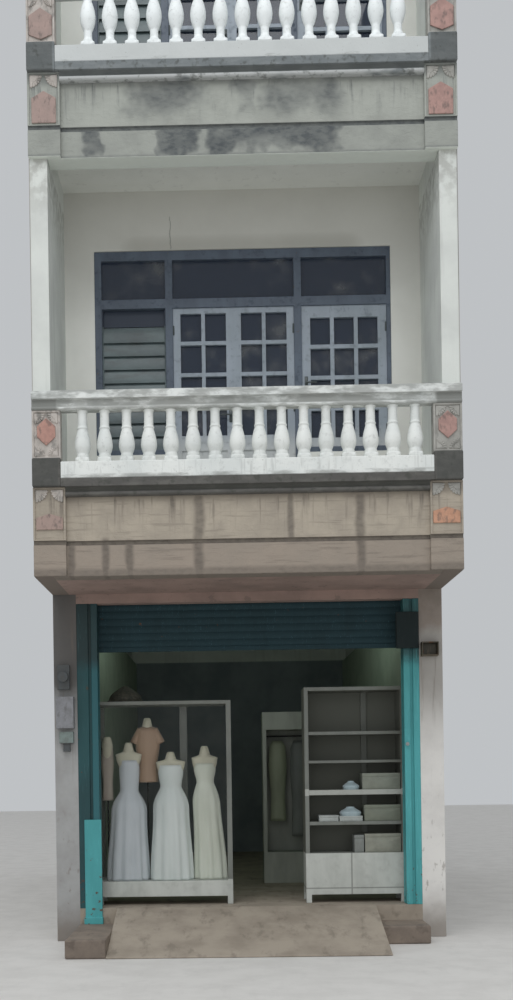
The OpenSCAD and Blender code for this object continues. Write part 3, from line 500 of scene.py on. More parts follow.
def glass(name, tint, alpha, rough=0.06):
    """Window glass: tinted, reflecting, dusty towards the corners."""
    f = Finish(name, rough)
    dust = f.cloud(0.35, 5).rise(0.5, 0.75, 0.35)
    f.colour = f.mix(dust, tint, (0.3, 0.3, 0.28))
    f.shader.inputs["Alpha"].default_value = alpha
    f.shader.inputs["IOR"].default_value = 1.5
    return f.done(f.cloud(0.5, 1), 0.0008, dust.rise(0.0, 0.35, 0.25))


def frosted_louvre():
    """Ribbed, dusty louvre glass, grey-green, under a dark fixed pane."""
    f = Finish("frosted_louvre", 0.35)
    f.colour = f.mix(f.tone(0.2, 4, (2, 1, 1)), (0.118, 0.16, 0.166), (0.083, 0.11, 0.117))
    dirt = f.cloud(0.08, 5, (4, 1, 1), 3).rise(0.5, 0.7) * 0.5
    f.coat(dirt, (0.07, 0.08, 0.075))
    f.coat(floor_height(f).rise(TOP_PANE - 0.006, TOP_PANE - 0.004), (0.024, 0.036, 0.06))
    return f.done(f.cloud(0.004, 1, (1, 1, 12)), 0.0006)


def trowelled_cement(name, light, dark, depth, worn=1.0):
    """Walked-on cement: buff with darker tyre and foot marks and small pits, as far as it is worn."""
    f = Finish(name, 0.85)
    f.colour = f.mix(f.cloud(0.4, 6).rise(0.35, 0.68), light, dark)
    marks = f.cloud(0.12, 5, (1, 3, 1), 4).rise(0.53, 0.68) * (0.4 * worn)
    f.coat(marks, tuple(0.45 * c for c in dark))
    pits = f.cloud(0.012, 2, shift=2).rise(0.7, 0.76)
    f.coat(pits * (0.5 * worn), (0.1, 0.09, 0.08))
    return f.done(trowelled(f) - pits * 0.5, depth)


def furniture():
    """White shop furniture: bright closed fronts, greyer frames, shelves that darken inwards, painted shade
    over the upper right end of the shelf unit, and the joint between the drawer and the panel of the
    shelf unit."""
    f = Finish("furniture_paint", 0.45)
    tone = f.tone(0.25, 4, (1, 1, 3))
    f.colour = f.mix(tone, (0.6, 0.62, 0.58), (0.49, 0.51, 0.475))
    right = f.x.rise(*AISLE)
    open_part = (f.z - (right * UNIT_RISE + CLOSED_TOP)).rise(0.0, 0.01)
    f.coat(open_part, f.mix(tone, (0.225, 0.237, 0.215), (0.18, 0.19, 0.172)))
    joint = f.most(abs(f.x - DRAWER_END).rise(0.012, 0.004), f.z.between(*DRAWER_JOINT, 0.004))
    f.coat(joint * right * open_part.rise(1.0, 0.9) * 0.55, (0.1, 0.1, 0.09))
    f.coat(right * f.z.between(*BRIGHT_BOARD, 0.004) * 0.7, (0.56, 0.575, 0.53))
    # Painted shade: the upper shelves darken towards the right end of the unit
    right_end_shade = right * open_part * f.x.rise(1.25, 1.62) * f.z.rise(1.62, 1.75) * 0.75
    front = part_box("shelf_case")[0].y
    inside = right * open_part * f.y.rise(front + 0.012, front + 0.04) * 0.97
    inside = inside * (1.0 - f.x.between(*BATTEN, 0.002) * 0.55)
    f.coat(f.most(right_end_shade, inside), (0.15, 0.155, 0.132))
    grime = f.cloud(0.1, 4, shift=4).rise(0.45, 0.8) * inside.rise(0.5, 0.0) * 0.2
    f.coat(grime, (0.13, 0.13, 0.115))
    rough = f.most(grime.rise(0.0, 0.3), inside) * 0.4 + 0.45
    f.shader.inputs["Specular IOR Level"].default_value = 0.25
    return f.done(f.cloud(0.05, 3), 0.0006, rough)


def cabinet_paint():
    """Grey paint of the cabinet at the back, dark inside, that is below its head board."""
    f = Finish("cabinet_grey", 0.7)
    f.colour = f.mix(f.tone(0.3, 4, (1, 1, 3)), (0.5, 0.53, 0.47), (0.38, 0.4, 0.355))
    low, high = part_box("back_cabinet")
    inside = f.z.rise(high.z - 0.26, high.z - 0.28) * f.y.rise(low.y + 0.02, low.y + 0.06)
    f.coat(inside * 0.2, (0.045, 0.055, 0.045))
    return f.done(f.cloud(0.05, 3), 0.0008)


def box_plastic():
    """Cover of the meter and cable boxes: a dark meter and valve, grey boxes between them."""
    f = Finish("box_plastic", 0.55)
    f.colour = f.mix(f.z.rise(BOX_GAP, BOX_GAP + 0.01), (0.22, 0.275, 0.26), (0.275, 0.28, 0.3))
    dark = f.most(f.z.rise(METER_GAP, METER_GAP + 0.01), f.z.rise(VALVE_GAP, VALVE_GAP - 0.012))
    f.coat(dark, (0.075, 0.085, 0.09))
    grime = f.cloud(0.04, 5, (1, 1, 2), 3).rise(0.48, 0.68) * 0.5
    f.coat(f.most(f.tone(0.08, 4) * 0.35, grime), (0.07, 0.065, 0.055))
    return f.done(f.cloud(0.05, 3), 0.001)


def card_goods():
    """Boxed goods by their place on the shelves: buff card, white papers on the middle board."""
    f = Finish("card_goods", 0.7)
    low = f.mix(f.x.rise(1.262, 1.268), (0.25, 0.265, 0.25), (0.32, 0.325, 0.27))
    middle = f.mix(f.x.rise(1.25, 1.26), (0.44, 0.47, 0.45), (0.215, 0.235, 0.185))
    f.colour = f.mix(f.z.rise(BOARDS[1] - 0.092, BOARDS[1] - 0.042), low, middle)
    f.coat(f.z.rise(BOARDS[2] - 0.091, BOARDS[2] - 0.041), (0.27, 0.29, 0.24))
    f.coat(f.tone(0.12, 4) * 0.3, (0.14, 0.14, 0.12))
    return f.done(f.cloud(0.03, 3), 0.0008)


def woven_cane():
    """Dark cane: rings of weave up the basket."""
    f = Finish("basket_cane", 0.75)
    weave = f.cloud(0.012, 2, (3, 3, 0.6))
    f.colour = f.mix(weave.rise(0.35, 0.65), (0.03, 0.033, 0.026), (0.085, 0.08, 0.06))
    return f.done(weave, 0.004)


def satin(name, light, shade, sheen=0.3):
    """Gown cloth: soft satin with a fine weave and faint creases."""
    f = Finish(name, 0.5)
    f.colour = f.mix(f.cloud(0.3, 3, (1, 1, 3)).rise(0.3, 0.7), light, shade)
    f.shader.inputs["Sheen Weight"].default_value = sheen
    weave = f.cloud(0.0016, 1)
    creases = f.cloud(0.05, 3, (1, 1, 5), 2)
    return f.done(weave * 0.12 + creases, 0.004)


FINISHES = {
    "floor_concrete": trowelled_cement("floor_concrete", (0.40, 0.345, 0.28), (0.30, 0.255, 0.205), 0.004),
    "step_render": trowelled_cement("step_render", (0.27, 0.22, 0.175), (0.18, 0.145, 0.12), 0.008),
    "shop_plaster": shop_plaster(),
    "party_plaster": party_plaster(),
    "slab_concrete": slab_concrete(),
    "band_plaster": band_plaster(),
    "stained_plaster": stained_plaster(),
    "white_masonry": white_masonry(),
    "grey_plaster": grey_plaster(),
    "terracotta": terracotta(),
    "frame_paint": oil_paint("frame_paint", (0.11, 0.14, 0.185), (0.08, 0.102, 0.138),
        (0.028, 0.0357, 0.0483), 0.02),
    "leaf_paint": oil_paint("leaf_paint", (0.365, 0.415, 0.475), (0.29, 0.336, 0.38),
        (0.12, 0.14, 0.155), 0.01, ((0.66, 0.68, 0.68), (0.54, 0.56, 0.56))),
    "window_glass": glass("window_glass", (0.034, 0.047, 0.075), 0.78),
    "louvre_glass": frosted_louvre(),
    "dark_teal_paint": metal_paint("dark_teal_paint", (0.010, 0.075, 0.083), (0.006, 0.046, 0.052), 0.02,
        strip=(0.020, 0.125, 0.145)),
    "teal_paint": metal_paint("teal_paint", (0.080, 0.41, 0.425), (0.058, 0.32, 0.335), 0.01),
    "curtain_paint": metal_paint("curtain_paint", (0.030, 0.108, 0.148), (0.021, 0.079, 0.107), 0.02, 0.85),
    "black_paint": metal_paint("black_paint", (0.006, 0.006, 0.006), (0.004, 0.004, 0.004), 0.0, 0.85),
    "box_plastic": box_plastic(),
    "rust_paint": metal_paint("rust_paint", (0.30, 0.215, 0.12), (0.20, 0.145, 0.08), 0.12),
    "furniture_paint": furniture(),
    "cabinet_grey": cabinet_paint(),
    "gown_cloth": satin("gown_cloth", (0.82, 0.88, 0.85), (0.72, 0.79, 0.76)),
    "card_goods": card_goods(),
    "basket_cane": woven_cane(),
}
OWN_FINISH = dict.fromkeys(("second_loggia_wall", "third_loggia_wall"), loggia_paint())
OWN_FINISH["showcase_glass"] = glass("showcase_pane", (0.05, 0.06, 0.055), 0.07, 0.03)
LAVENDER = satin("lavender_satin", (0.70, 0.75, 0.78), (0.58, 0.63, 0.66))
CREAM = satin("cream_satin", (0.80, 0.84, 0.73), (0.69, 0.73, 0.62))
LINEN = satin("form_linen", (0.70, 0.68, 0.53), (0.58, 0.56, 0.43))
SALMON = satin("salmon_cloth", (0.50, 0.345, 0.235), (0.41, 0.28, 0.195))
OLIVE = satin("olive_cloth", (0.36, 0.40, 0.28), (0.26, 0.29, 0.20), 0.1)
CHARCOAL = satin("charcoal_cloth", (0.23, 0.25, 0.23), (0.16, 0.175, 0.165), 0.1)
PINK_LINEN = satin("pink_linen", (0.52, 0.46, 0.38), (0.42, 0.36, 0.31))
PALE_BLUE = satin("pale_blue_cloth", (0.42, 0.53, 0.56), (0.35, 0.44, 0.47))
STEEL = metal_paint("hardware_steel", (0.30, 0.33, 0.33), (0.20, 0.22, 0.22), 0.0, 0.35)

SLOT_OF = {row["node"]: row["material_slot"] for row in frame["record"]["subparts"]}


def clothe(thing, finish):
    """Gives an object one finish all over."""
    thing.data.materials.clear()
    thing.data.materials.append(finish)


def finish_of(node):
    """The finish of a CAD node: its own, or else that of its slot."""
    return OWN_FINISH.get(node, FINISHES[SLOT_OF[node]])


for node, cad in nodes.items():
    clothe(cad, finish_of(node))


# Copies of the CAD solids with worn edges

WORN_EDGES = {
    "lower_band": 0.006, "middle_band": 0.006, "top_band": 0.006, "cornices": 0.007,
    "balustrade_plinths": 0.008, "handrails": 0.006, "pilasters": 0.006, "pedestals": 0.006,
    "pedestal_bases": 0.012, "hexagon_plaques": 0.005, "front_ramp": 0.010,
    "side_steps": 0.014, "second_window_frame": 0.004, "third_window_frame": 0.004,
    "balcony_doors": 0.003, "casements": 0.003, "left_shutter_rail": 0.005, "right_shutter_rail": 0.005,
    "rail_cover": 0.004, "shutter_bottom_bar": 0.004, "shutter_end_box": 0.008, "meter_box": 0.010,
    "wall_bracket": 0.003, "rear_frames": 0.004, "parapets": 0.010, "showcase": 0.004,
    "shelf_case": 0.003, "shelf_boards": 0.003, "back_cabinet": 0.004,
}


def worn_copy(node, edge):
    """The node's solids with their doubles merged and each sharp edge rounded to edge metres."""
    mesh = bpy.data.meshes.new(node + "_worn")
    work = bmesh.new()
    work.from_mesh(nodes[node].data)
    bmesh.ops.remove_doubles(work, verts=work.verts, dist=1e-5)
    bmesh.ops.dissolve_limit(work, angle_limit=math.radians(1.0), verts=work.verts, edges=work.edges)
    bmesh.ops.recalc_face_normals(work, faces=work.faces)
    work.to_mesh(mesh)
    work.free()
    copy = bpy.data.objects.new(node + "_worn", mesh)
    bpy.context.scene.collection.objects.link(copy)
    clothe(copy, finish_of(node))
    bevel = copy.modifiers.new("edges", "BEVEL")
    bevel.width = edge
    bevel.segments = 2
    bevel.limit_method = "ANGLE"
    bevel.angle_limit = math.radians(35.0)
    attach(copy, "root")
    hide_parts(node)


for node, edge in WORN_EDGES.items():
    worn_copy(node, edge)


# Meshes worked out as whole arrays


def ring_angles(count):
    """The angles of the points of a ring, from the X axis round to Y."""
    return np.linspace(0.0, 2.0 * np.pi, count, endpoint=False)


def tube_faces(points):
    """Point numbers of each ring, those one place further round, and the quads between the rings."""
    rings, around, _ = points.shape
    index = np.arange(rings * around).reshape(rings, around)
    right = np.roll(index, -1, axis=1)
    return index, right, np.stack([index[:-1], right[:-1], right[1:], index[1:]], axis=-1).reshape(-1, 4)


def skin(points):
    """A closed tube of rings, points (rings, around, 3), with a fan of triangles at each end. Its
    faces point out: they are turned over if the volume by the divergence theorem is negative."""
    index, right, quads = tube_faces(points)
    foot, top = np.full_like(index[0], index.size), np.full_like(index[0], index.size + 1)
    fans = np.concatenate([np.stack([right[0], index[0], foot], axis=-1),
        np.stack([index[-1], right[-1], top], axis=-1)])
    places = np.concatenate([points.reshape(-1, 3), points[:1].mean(1), points[-1:].mean(1)])
    corners = places[np.concatenate([quads[:, :3], quads[:, [0, 2, 3]], fans])]
    volume = (corners[:, 0] * np.cross(corners[:, 1], corners[:, 2])).sum()
    if volume < 0:
        quads, fans = quads[:, ::-1], fans[:, ::-1]
    return places, quads, fans


def strip(points, outward):
    """An open tube of rings for cloth, without ends. Its faces point out as they are when the rings
    go up and round from X to Y; the others are turned over."""
    _, _, quads = tube_faces(points)
    if not outward:
        quads = quads[:, ::-1]
    return points.reshape(-1, 3), quads, np.zeros((0, 3), int)


def made_piece(name, skins, finish, replaced=(), sharp=40.0):
    """One object out of several skins, fixed to the house, smooth but for its sharp edges."""
    counts = np.array([0] + [len(places) for places, _, _ in skins])
    starts = np.cumsum(counts)
    places = np.concatenate([places for places, _, _ in skins])
    quads = np.concatenate([quads + start for (_, quads, _), start in zip(skins, starts)])
    fans = np.concatenate([fans + start for (_, _, fans), start in zip(skins, starts)])
    mesh = bpy.data.meshes.new(name)
    mesh.from_pydata(places.tolist(), [], quads.tolist() + fans.tolist())
    mesh.polygons.foreach_set("use_smooth", np.full(len(mesh.polygons), True))
    mesh.set_sharp_from_angle(angle=math.radians(sharp))
    made = bpy.data.objects.new(name, mesh)
    bpy.context.scene.collection.objects.link(made)
    clothe(made, finish)
    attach(made, "root")
    if replaced:
        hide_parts(*replaced)
    return made


def piece(name, tubes, finish, replaced=(), sharp=40.0):
    """One object out of several closed tubes of rings."""
    made_piece(name, [skin(points) for points in tubes], finish, replaced, sharp)


OCTAGON = np.array([(-1, -1, 1, 0), (1, -1, -1, 0), (1, -1, 0, 1), (1, 1, 0, -1), (1, 1, -1, 0),
    (-1, 1, 1, 0), (-1, 1, 0, -1), (-1, -1, 0, 1)], float)


def box_tube(low, high, edge=0.003):
    """A box as an outline with cut corners, carried along Y; its two ends are drawn in by the same
    edge. Corner k of the outline is centre + sign_k * half + edge * inward_k."""
    low, high = np.array(low, float), np.array(high, float)
    edge = min(edge, 0.45 * float((high - low).min()))
    middle, half = (low + high) / 2.0, (high - low) / 2.0
    inset = np.array([edge, 0.0, 0.0, edge])[:, None]
    y = np.array([low[1], low[1] + edge, high[1] - edge, high[1]])[:, None]
    x = middle[0] + OCTAGON[:, 0] * (half[0] - inset) + OCTAGON[:, 2] * edge
    z = middle[2] + OCTAGON[:, 1] * (half[2] - inset) + OCTAGON[:, 3] * edge
    return np.stack([x, np.broadcast_to(y, x.shape), z], axis=-1)


def swept(stations, t):
    """Radius at share t of the height: narrow + (wide - narrow) * cos(90 deg * q) ** power between
    two stations (share, radius, power), with q the share of the stretch from its wide end."""
    at, radius, power = np.array(stations).T
    k = np.clip(np.searchsorted(at, t, side="right") - 1, 0, len(at) - 2)
    s = np.clip((t - at[k]) / (at[k + 1] - at[k]), 0.0, 1.0)
    widens = radius[k + 1] > radius[k]
    q = np.where(widens, 1.0 - s, s)
    narrow = np.minimum(radius[k], radius[k + 1])
    wide = np.maximum(radius[k], radius[k + 1])
    return narrow + (wide - narrow) * np.cos(np.pi / 2.0 * q) ** power[k]


# Balusters

PEAR = [(0.0, 0.062, 2), (0.06, 0.062, 2), (0.09, 0.057, 1), (0.26, 0.079, 1), (0.60, 0.048, 2),
    (0.63, 0.054, 2), (0.67, 0.046, 2), (0.93, 0.045, 2), (1.0, 0.054, 2)]
EGG = [(0.0, 0.054, 2), (0.05, 0.054, 2), (0.12, 0.041, 2), (0.26, 0.041, 1), (0.56, 0.078, 1),
    (0.90, 0.042, 2), (1.0, 0.054, 2)]
WIDEST = 0.079
BLOCK_HALF = 0.0675
BLOCK_HEIGHT = 0.040
BLOCK_POWER = 14.0


def baluster(x, y, foot, top, stations, rng):
    """A turned form on a square block: the radius r(height) is swept between its stations, and on the
    block it is half / (|cos a|^p + |sin a|^p)^(1/p), a rounded square. Each casting swells a little."""
    around, along = 40, 64
    angle = ring_angles(around) + np.pi / around
    square = BLOCK_HALF / (np.abs(np.cos(angle)) ** BLOCK_POWER
        + np.abs(np.sin(angle)) ** BLOCK_POWER) ** (1.0 / BLOCK_POWER)
    head = foot + BLOCK_HEIGHT
    swell = 1.0 + rng.uniform(-0.025, 0.0)
    turned = swept(stations, np.linspace(0.0, 1.0, along)) * swell
    z = np.concatenate([[foot, foot + 0.004, head - 0.004, head], np.linspace(head, top, along)])
    block = square - np.array([0.004, 0.0, 0.0, 0.004])[:, None]
    radius = np.concatenate([block, np.repeat(turned[:, None], around, axis=1)])
    return np.stack([x + radius * np.cos(angle), y + radius * np.sin(angle),
        np.repeat(z[:, None], around, axis=1)], axis=-1)


def baluster_row(node, count, stations):
    """The whole row of one balcony, in the place of its CAD node."""
    rng = np.random.default_rng(len(stations))
    low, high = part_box(node)
    y = (low.y + high.y) / 2.0
    tubes = [baluster(x, y, low.z, high.z, stations, rng)
        for x in np.linspace(low.x + WIDEST, high.x - WIDEST, count)]
    piece(node + "_turned", tubes, FINISHES["white_masonry"], (node,))


baluster_row("second_balusters", 16, PEAR)
baluster_row("third_balusters", 15, EGG)


# Louvre blades, each a bowed glass slat with its lower edge out, in side strips under a fixed pane

BLADES = 9
BLADE_PITCH = 0.146
BLADE_HALF = 0.088
FIRST_BLADE = 0.091
SIDE_STRIP = 0.014
BLADE_TILT = math.radians(11.0)
SILL_BAR = 0.66
TRANSOM = 2.19


def louvre_blade(left, right, y, z):
    """A slat as rings along X: front and back faces bow by 5 mm * (1 - s^2) over the width s."""
    s = np.linspace(-1.0, 1.0, 9)
    bow = 0.005 * (1.0 - s * s)
    across = np.concatenate([-0.003 - bow, (0.003 - bow)[::-1]])
    along = np.concatenate([s, s[::-1]]) * BLADE_HALF
    depth = across * math.cos(BLADE_TILT) + along * math.sin(BLADE_TILT)
    height = along * math.cos(BLADE_TILT) - across * math.sin(BLADE_TILT)
    x = np.array([left, left + 0.002, right - 0.002, right])[:, None]
    x, depth, height = np.broadcast_arrays(x, y + depth, z + height)
    return np.stack([x, depth, height], axis=-1)


def louvre_bay(floor):
    """The blades, strips and fixed pane of one storey, from the sill bar to the transom."""
    low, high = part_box("louvre_blades")
    y = (low.y + high.y) / 2.0
    sill, head = floor + SILL_BAR, floor + TRANSOM
    left, right = low.x + SIDE_STRIP, high.x - SIDE_STRIP
    tubes = [louvre_blade(left, right, y, sill + FIRST_BLADE + i * BLADE_PITCH) for i in range(BLADES)]
    tubes += [box_tube((x, y - 0.024, sill), (x + SIDE_STRIP, y + 0.024, head), 0.002)
        for x in (low.x, right)]
    return tubes + [box_tube((left, y + 0.016, floor + TOP_PANE), (right, y + 0.022, head))]


piece("louvre_slats", [tube for floor in FLOORS for tube in louvre_bay(floor)], FINISHES["louvre_glass"],
    ("louvre_blades",), sharp=30.0)


# Rods and level rings


def rod(points, radius, around=10):
    """A round rod through points: each ring stands square to the way to the next point."""
    points = np.array(points, float)
    way = np.gradient(points, axis=0)
    way /= np.linalg.norm(way, axis=1, keepdims=True)
    side = np.cross(way, np.where(np.abs(way[:, 2:]) > 0.9, (0.0, 1.0, 0.0), (0.0, 0.0, 1.0)))
    side /= np.linalg.norm(side, axis=1, keepdims=True)
    other = np.cross(way, side)
    angle = ring_angles(around)
    ring = side[:, None] * np.cos(angle)[:, None] + other[:, None] * np.sin(angle)[:, None]
    return points[:, None] + radius * ring


def oval_rings(x, y, half_x, half_y, z, squareness, around, fold=1.0):
    """Level rings, one per height: an ellipse where squareness p is 2 and squarer as it grows, with
    reach (|cos a|^p + |sin a|^p)^(-1/p), drawn in where fold is below 1."""
    angle = ring_angles(around)
    x, y, half_x, half_y, z, p = (np.asarray(v, float).reshape(-1, 1)
        for v in (x, y, half_x, half_y, z, squareness))
    reach = fold * (np.abs(np.cos(angle)) ** p + np.abs(np.sin(angle)) ** p) ** (-1.0 / p)
    return np.stack(np.broadcast_arrays(x + half_x * reach * np.cos(angle),
        y + half_y * reach * np.sin(angle), z), axis=-1)


# Door levers and hinges of the balconies, with their heights above the floor

LEVER_HEIGHT = 1.02
CATCH_HEIGHT = 1.35
DOOR_HINGES = (0.25, 1.10, 1.95)
CASEMENT_HINGES = (0.85, 1.95)
LEAF_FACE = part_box("balcony_doors")[0].y
DOOR_LEFT, DOOR_RIGHT = (corner.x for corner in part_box("balcony_doors"))
DOOR_MIDDLE = (DOOR_LEFT + DOOR_RIGHT) / 2.0
CASEMENT_LEFT, CASEMENT_RIGHT = (corner.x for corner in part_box("casements"))


def lever(x, z, way):
    """A lever handle: a plate, a neck and a grip that bends along the leaf."""
    plate = box_tube((x - 0.018, LEAF_FACE - 0.006, z - 0.075), (x + 0.018, LEAF_FACE, z + 0.075))
    turn = np.linspace(0.0, 1.0, 7)
    bend = np.stack([x + way * 0.11 * turn, LEAF_FACE - 0.045 + 0.012 * turn ** 2, z + 0.0 * turn], axis=-1)
    neck = [(x, LEAF_FACE - 0.004, z), (x, LEAF_FACE - 0.045, z)]
    return [plate, rod(neck, 0.009), rod(bend, 0.008)]


def hinge(x, z):
    """A butt hinge's knuckle with its two rounded caps."""
    levels = np.array([-0.052, -0.046, 0.046, 0.052])
    radius = np.array([0.004, 0.009, 0.009, 0.004])
    return oval_rings(x, LEAF_FACE - 0.006, radius, radius, z + levels, 2.0, 10)


hardware = []
for floor in FLOORS:
    hardware += lever(DOOR_MIDDLE - 0.04, floor + LEVER_HEIGHT, -1.0)
    hardware += lever(CASEMENT_LEFT + 0.045, floor + CATCH_HEIGHT, 1.0)
    for level in DOOR_HINGES:
        hardware += [hinge(DOOR_LEFT + 0.008, floor + level), hinge(DOOR_RIGHT - 0.008, floor + level)]
    hardware += [hinge(CASEMENT_RIGHT - 0.008, floor + level) for level in CASEMENT_HINGES]
piece("joinery_hardware", hardware, STEEL)


# Knob of the shutter's catch, turned about the Y axis, on the right rail

RAIL_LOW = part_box("right_shutter_rail")[0]
KNOB_X, KNOB_Z = RAIL_LOW.x + 0.028, 2.08
knob_reach = np.array([0.0, 0.004, 0.018, 0.024, 0.034, 0.040])
knob_radius = np.array([0.018, 0.018, 0.008, 0.018, 0.020, 0.009])
knob_line = [(KNOB_X, RAIL_LOW.y - reach, KNOB_Z) for reach in knob_reach]
piece("rail_knob", [rod(knob_line, knob_radius[:, None, None], 24)], STEEL)


# Fluted quarter shells in the corners of the sunk panels. A panel is given by its half width, how
# far its middle is from the middle of the front, and the Y of its back.

FLUTES = 6
LOWER_PANEL = (0.136, 1.94, FRONT - 0.032)
UPPER_PANEL = (0.116, 1.96, FRONT - 0.042)
LOWER_PANEL_HEAD = 0.846
UPPER_PANEL_FOOT = 1.174
UPPER_PANEL_HEAD = 1.596
LOWER_RADIUS = 0.122
UPPER_RADII = (0.104, 0.086)


def fan(corner, way_x, way_z, back, radius):
    """A quarter shell: its rim is scalloped by |sin(2 n a)| with n flutes, and its face swells between
    them as the rim does."""
    angle = np.linspace(0.0, np.pi / 2.0, 6 * FLUTES + 1)
    lobe = np.abs(np.sin(FLUTES * 2.0 * angle))
    rim = radius * (0.93 + 0.07 * lobe)
    outline = np.concatenate([[(0.0, 0.0)], np.stack([rim * np.cos(angle), rim * np.sin(angle)], axis=-1)])
    swell = np.concatenate([[1.0], 0.55 + 0.45 * lobe])
    share = np.array([1.0, 1.0, 0.94, 0.66, 0.36])[:, None]
    depth = np.array([0.0, 0.006, 0.011, 0.014, 0.012])[:, None] * swell
    centre = 0.35 * radius
    flat = centre + (outline[None] - centre) * share[..., None]
    x, z = corner[0] + way_x * flat[..., 0], corner[1] + way_z * flat[..., 1]
    return np.stack([x, back - depth, z], axis=-1)


def panel_fans(half_width, middle, back, level, radius, way_z):
    """The two shells of one edge of a panel, on the left and on the right side of the front."""
    return [fan((side * middle + way * half_width, level), -way, way_z, back, radius)
        for side in (-1.0, 1.0) for way in (-1.0, 1.0)]


trims = [BANDS[0], BANDS[1] - DROP, BANDS[2] - DROP]
fans = [shell for trim in trims
    for shell in panel_fans(*LOWER_PANEL, trim + LOWER_PANEL_HEAD, LOWER_RADIUS, -1.0)]
for trim, radius in zip(trims, UPPER_RADII):
    fans += panel_fans(*UPPER_PANEL, trim + UPPER_PANEL_HEAD, radius, -1.0)
fans += panel_fans(*UPPER_PANEL, BANDS[0] + UPPER_PANEL_FOOT, UPPER_RADII[0], 1.0)
piece("corner_shells", fans, FINISHES["grey_plaster"], ("corner_fans",), sharp=30.0)


# Goods on the shelves, and the basket on the showcase

SHELF_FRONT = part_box("shelf_goods")[0].y

# Cartons as left and right side, foot, height and depth
BOXES = [(1.154, 1.262, BOARDS[0], 0.192, 0.26), (1.270, 1.670, BOARDS[0], 0.205, 0.30),
    (0.768, 0.984, BOARDS[1], 0.068, 0.24), (0.994, 1.250, BOARDS[1], 0.058, 0.28),
    (1.268, 1.670, BOARDS[1], 0.178, 0.30), (1.250, 1.670, BOARDS[2], 0.178, 0.30)]


def carton(left, right, foot, height, deep):
    """A card box and its slightly wider lid."""
    lid = foot + height - min(0.04, 0.4 * height)
    front, back = SHELF_FRONT, SHELF_FRONT + deep
    return [box_tube((left + 0.002, front + 0.002, foot), (right - 0.002, back, lid), 0.002),
        box_tube((left, front, lid), (right, back + 0.002, foot + height), 0.003)]


def packet(left, right, foot, height, deep):
    """A soft wrapped packet: rounded square rings that draw in towards the top."""
    t = np.linspace(0.0, 1.0, 14)
    half = swept([(0.0, 0.93, 2), (0.35, 1.0, 2), (1.0, 0.35, 1)], t)
    around = 48
    fold = 1.0 - 0.03 * (0.5 + 0.5 * np.cos(9.0 * ring_angles(around) + 1.0))
    return oval_rings((left + right) / 2.0, SHELF_FRONT + deep / 2.0, half * (right - left) / 2.0,
        half * deep / 2.0, foot + height * t, 3.2, around, fold)


piece("boxed_goods", [tube for box in BOXES for tube in carton(*box)], FINISHES["card_goods"],
    ("shelf_goods",))
piece("soft_packets", [packet(1.005, 1.245, BOARDS[1] + 0.058, 0.100, 0.24),
    packet(1.040, 1.225, BOARDS[2], 0.095, 0.20)], PALE_BLUE, ("shelf_goods",))

t = np.linspace(0.0, 1.0, 40)
ribs = 1.0 - 0.015 * (1.0 + np.cos(ring_angles(96) * 24.0))
basket_low, basket_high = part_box("dark_basket")
basket_half = swept([(0.0, 0.200, 2), (0.10, 0.205, 2), (0.16, 0.185, 1), (1.0, 0.02, 1)], t)
basket_half = basket_half * (1.0 + 0.006 * np.cos(2.0 * np.pi * 14.0 * t))
piece("cane_basket", [oval_rings(-1.37, (basket_low.y + basket_high.y) / 2.0, basket_half, basket_half,
    basket_low.z + (basket_high.z - basket_low.z) * t, 2.0, 96, ribs)], FINISHES["basket_cane"],
    ("dark_basket",))


# Gowns and tops in the showcase

GOWN_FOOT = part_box("gowns")[0].z + 0.002
GOWN_RINGS = 48
GOWN_AROUND = 96
CLOTH = 0.003
STAND_TOP = 2.0

# Dress forms as X and Y, half widths of bust and shoulders, foot and top. The one at the back has a foot
# that shows, and the narrow one stands behind the left rail of the shutter.
BACK_FORM = (-1.14, -3.10)
NARROW_FORM = (-1.59, -3.17)
FORMS = [(-1.345, -3.245, 0.100, 0.150, 1.83, 2.15), (-0.872, -3.270, 0.128, 0.168, 1.77, 2.04),
    (-0.4915, -3.210, 0.110, 0.150, 1.785, 2.10), (*BACK_FORM, 0.100, 0.130, 2.06, 2.43),
    (*NARROW_FORM, 0.052, 0.066, 1.95, 2.22)]


def gown(bust_x, hem_x, y, halves, levels, folds, phase):
    """An open tube of cloth from hem to bust. Half widths are swept from hem to waist to bust, and
    folds of depth 13% * (1 - t / waist)^0.7 open towards a squarer hem."""
    hem, waist, bust = halves
    waist_z, top = levels
    t = np.linspace(0.0, 1.0, GOWN_RINGS)
    at = (waist_z - GOWN_FOOT) / (top - GOWN_FOOT)
    stations = [(0.0, hem, 2), (0.77 * at, 0.83 * hem, 1), (at, waist, 2), (0.3 * at + 0.7, bust, 2),
        (1.0, 0.95 * bust, 2)]
    half = swept(stations, t)
    skirt = np.clip(1.0 - t / at, 0.0, 1.0)
    angle = ring_angles(GOWN_AROUND)
    wave = 0.5 - 0.5 * np.cos(folds * angle + phase + 0.8 * np.sin(2.0 * angle + phase))
    fold = 1.0 - 0.13 * skirt[:, None] ** 0.7 * wave ** 1.4
    middle = hem_x + (bust_x - hem_x) * t * t * (3.0 - 2.0 * t)
    z = GOWN_FOOT + (top - GOWN_FOOT) * t
    return strip(oval_rings(middle, y, half, half * (0.80 - 0.06 * t), z, 2.0 + 0.7 * skirt, GOWN_AROUND,
        fold), True)


def body(x, y, foot, top, half):
    """The open tube of a top: narrowed at the waist, widest at the bust, drawn in at the shoulders."""
    t = np.linspace(0.0, 1.0, 24)
    stations = [(0.0, 0.88, 2), (0.30, 0.78, 2), (0.68, 1.0, 2), (0.90, 0.92, 1), (1.0, 0.55, 2)]
    width = half * swept(stations, t)
    fold = 1.0 - 0.04 * (1.0 - t[:, None]) * (0.5 - 0.5 * np.cos(7.0 * ring_angles(64) + x))
    return strip(oval_rings(x, y, width, width * 0.58, foot + (top - foot) * t, 2.2, 64, fold), True)


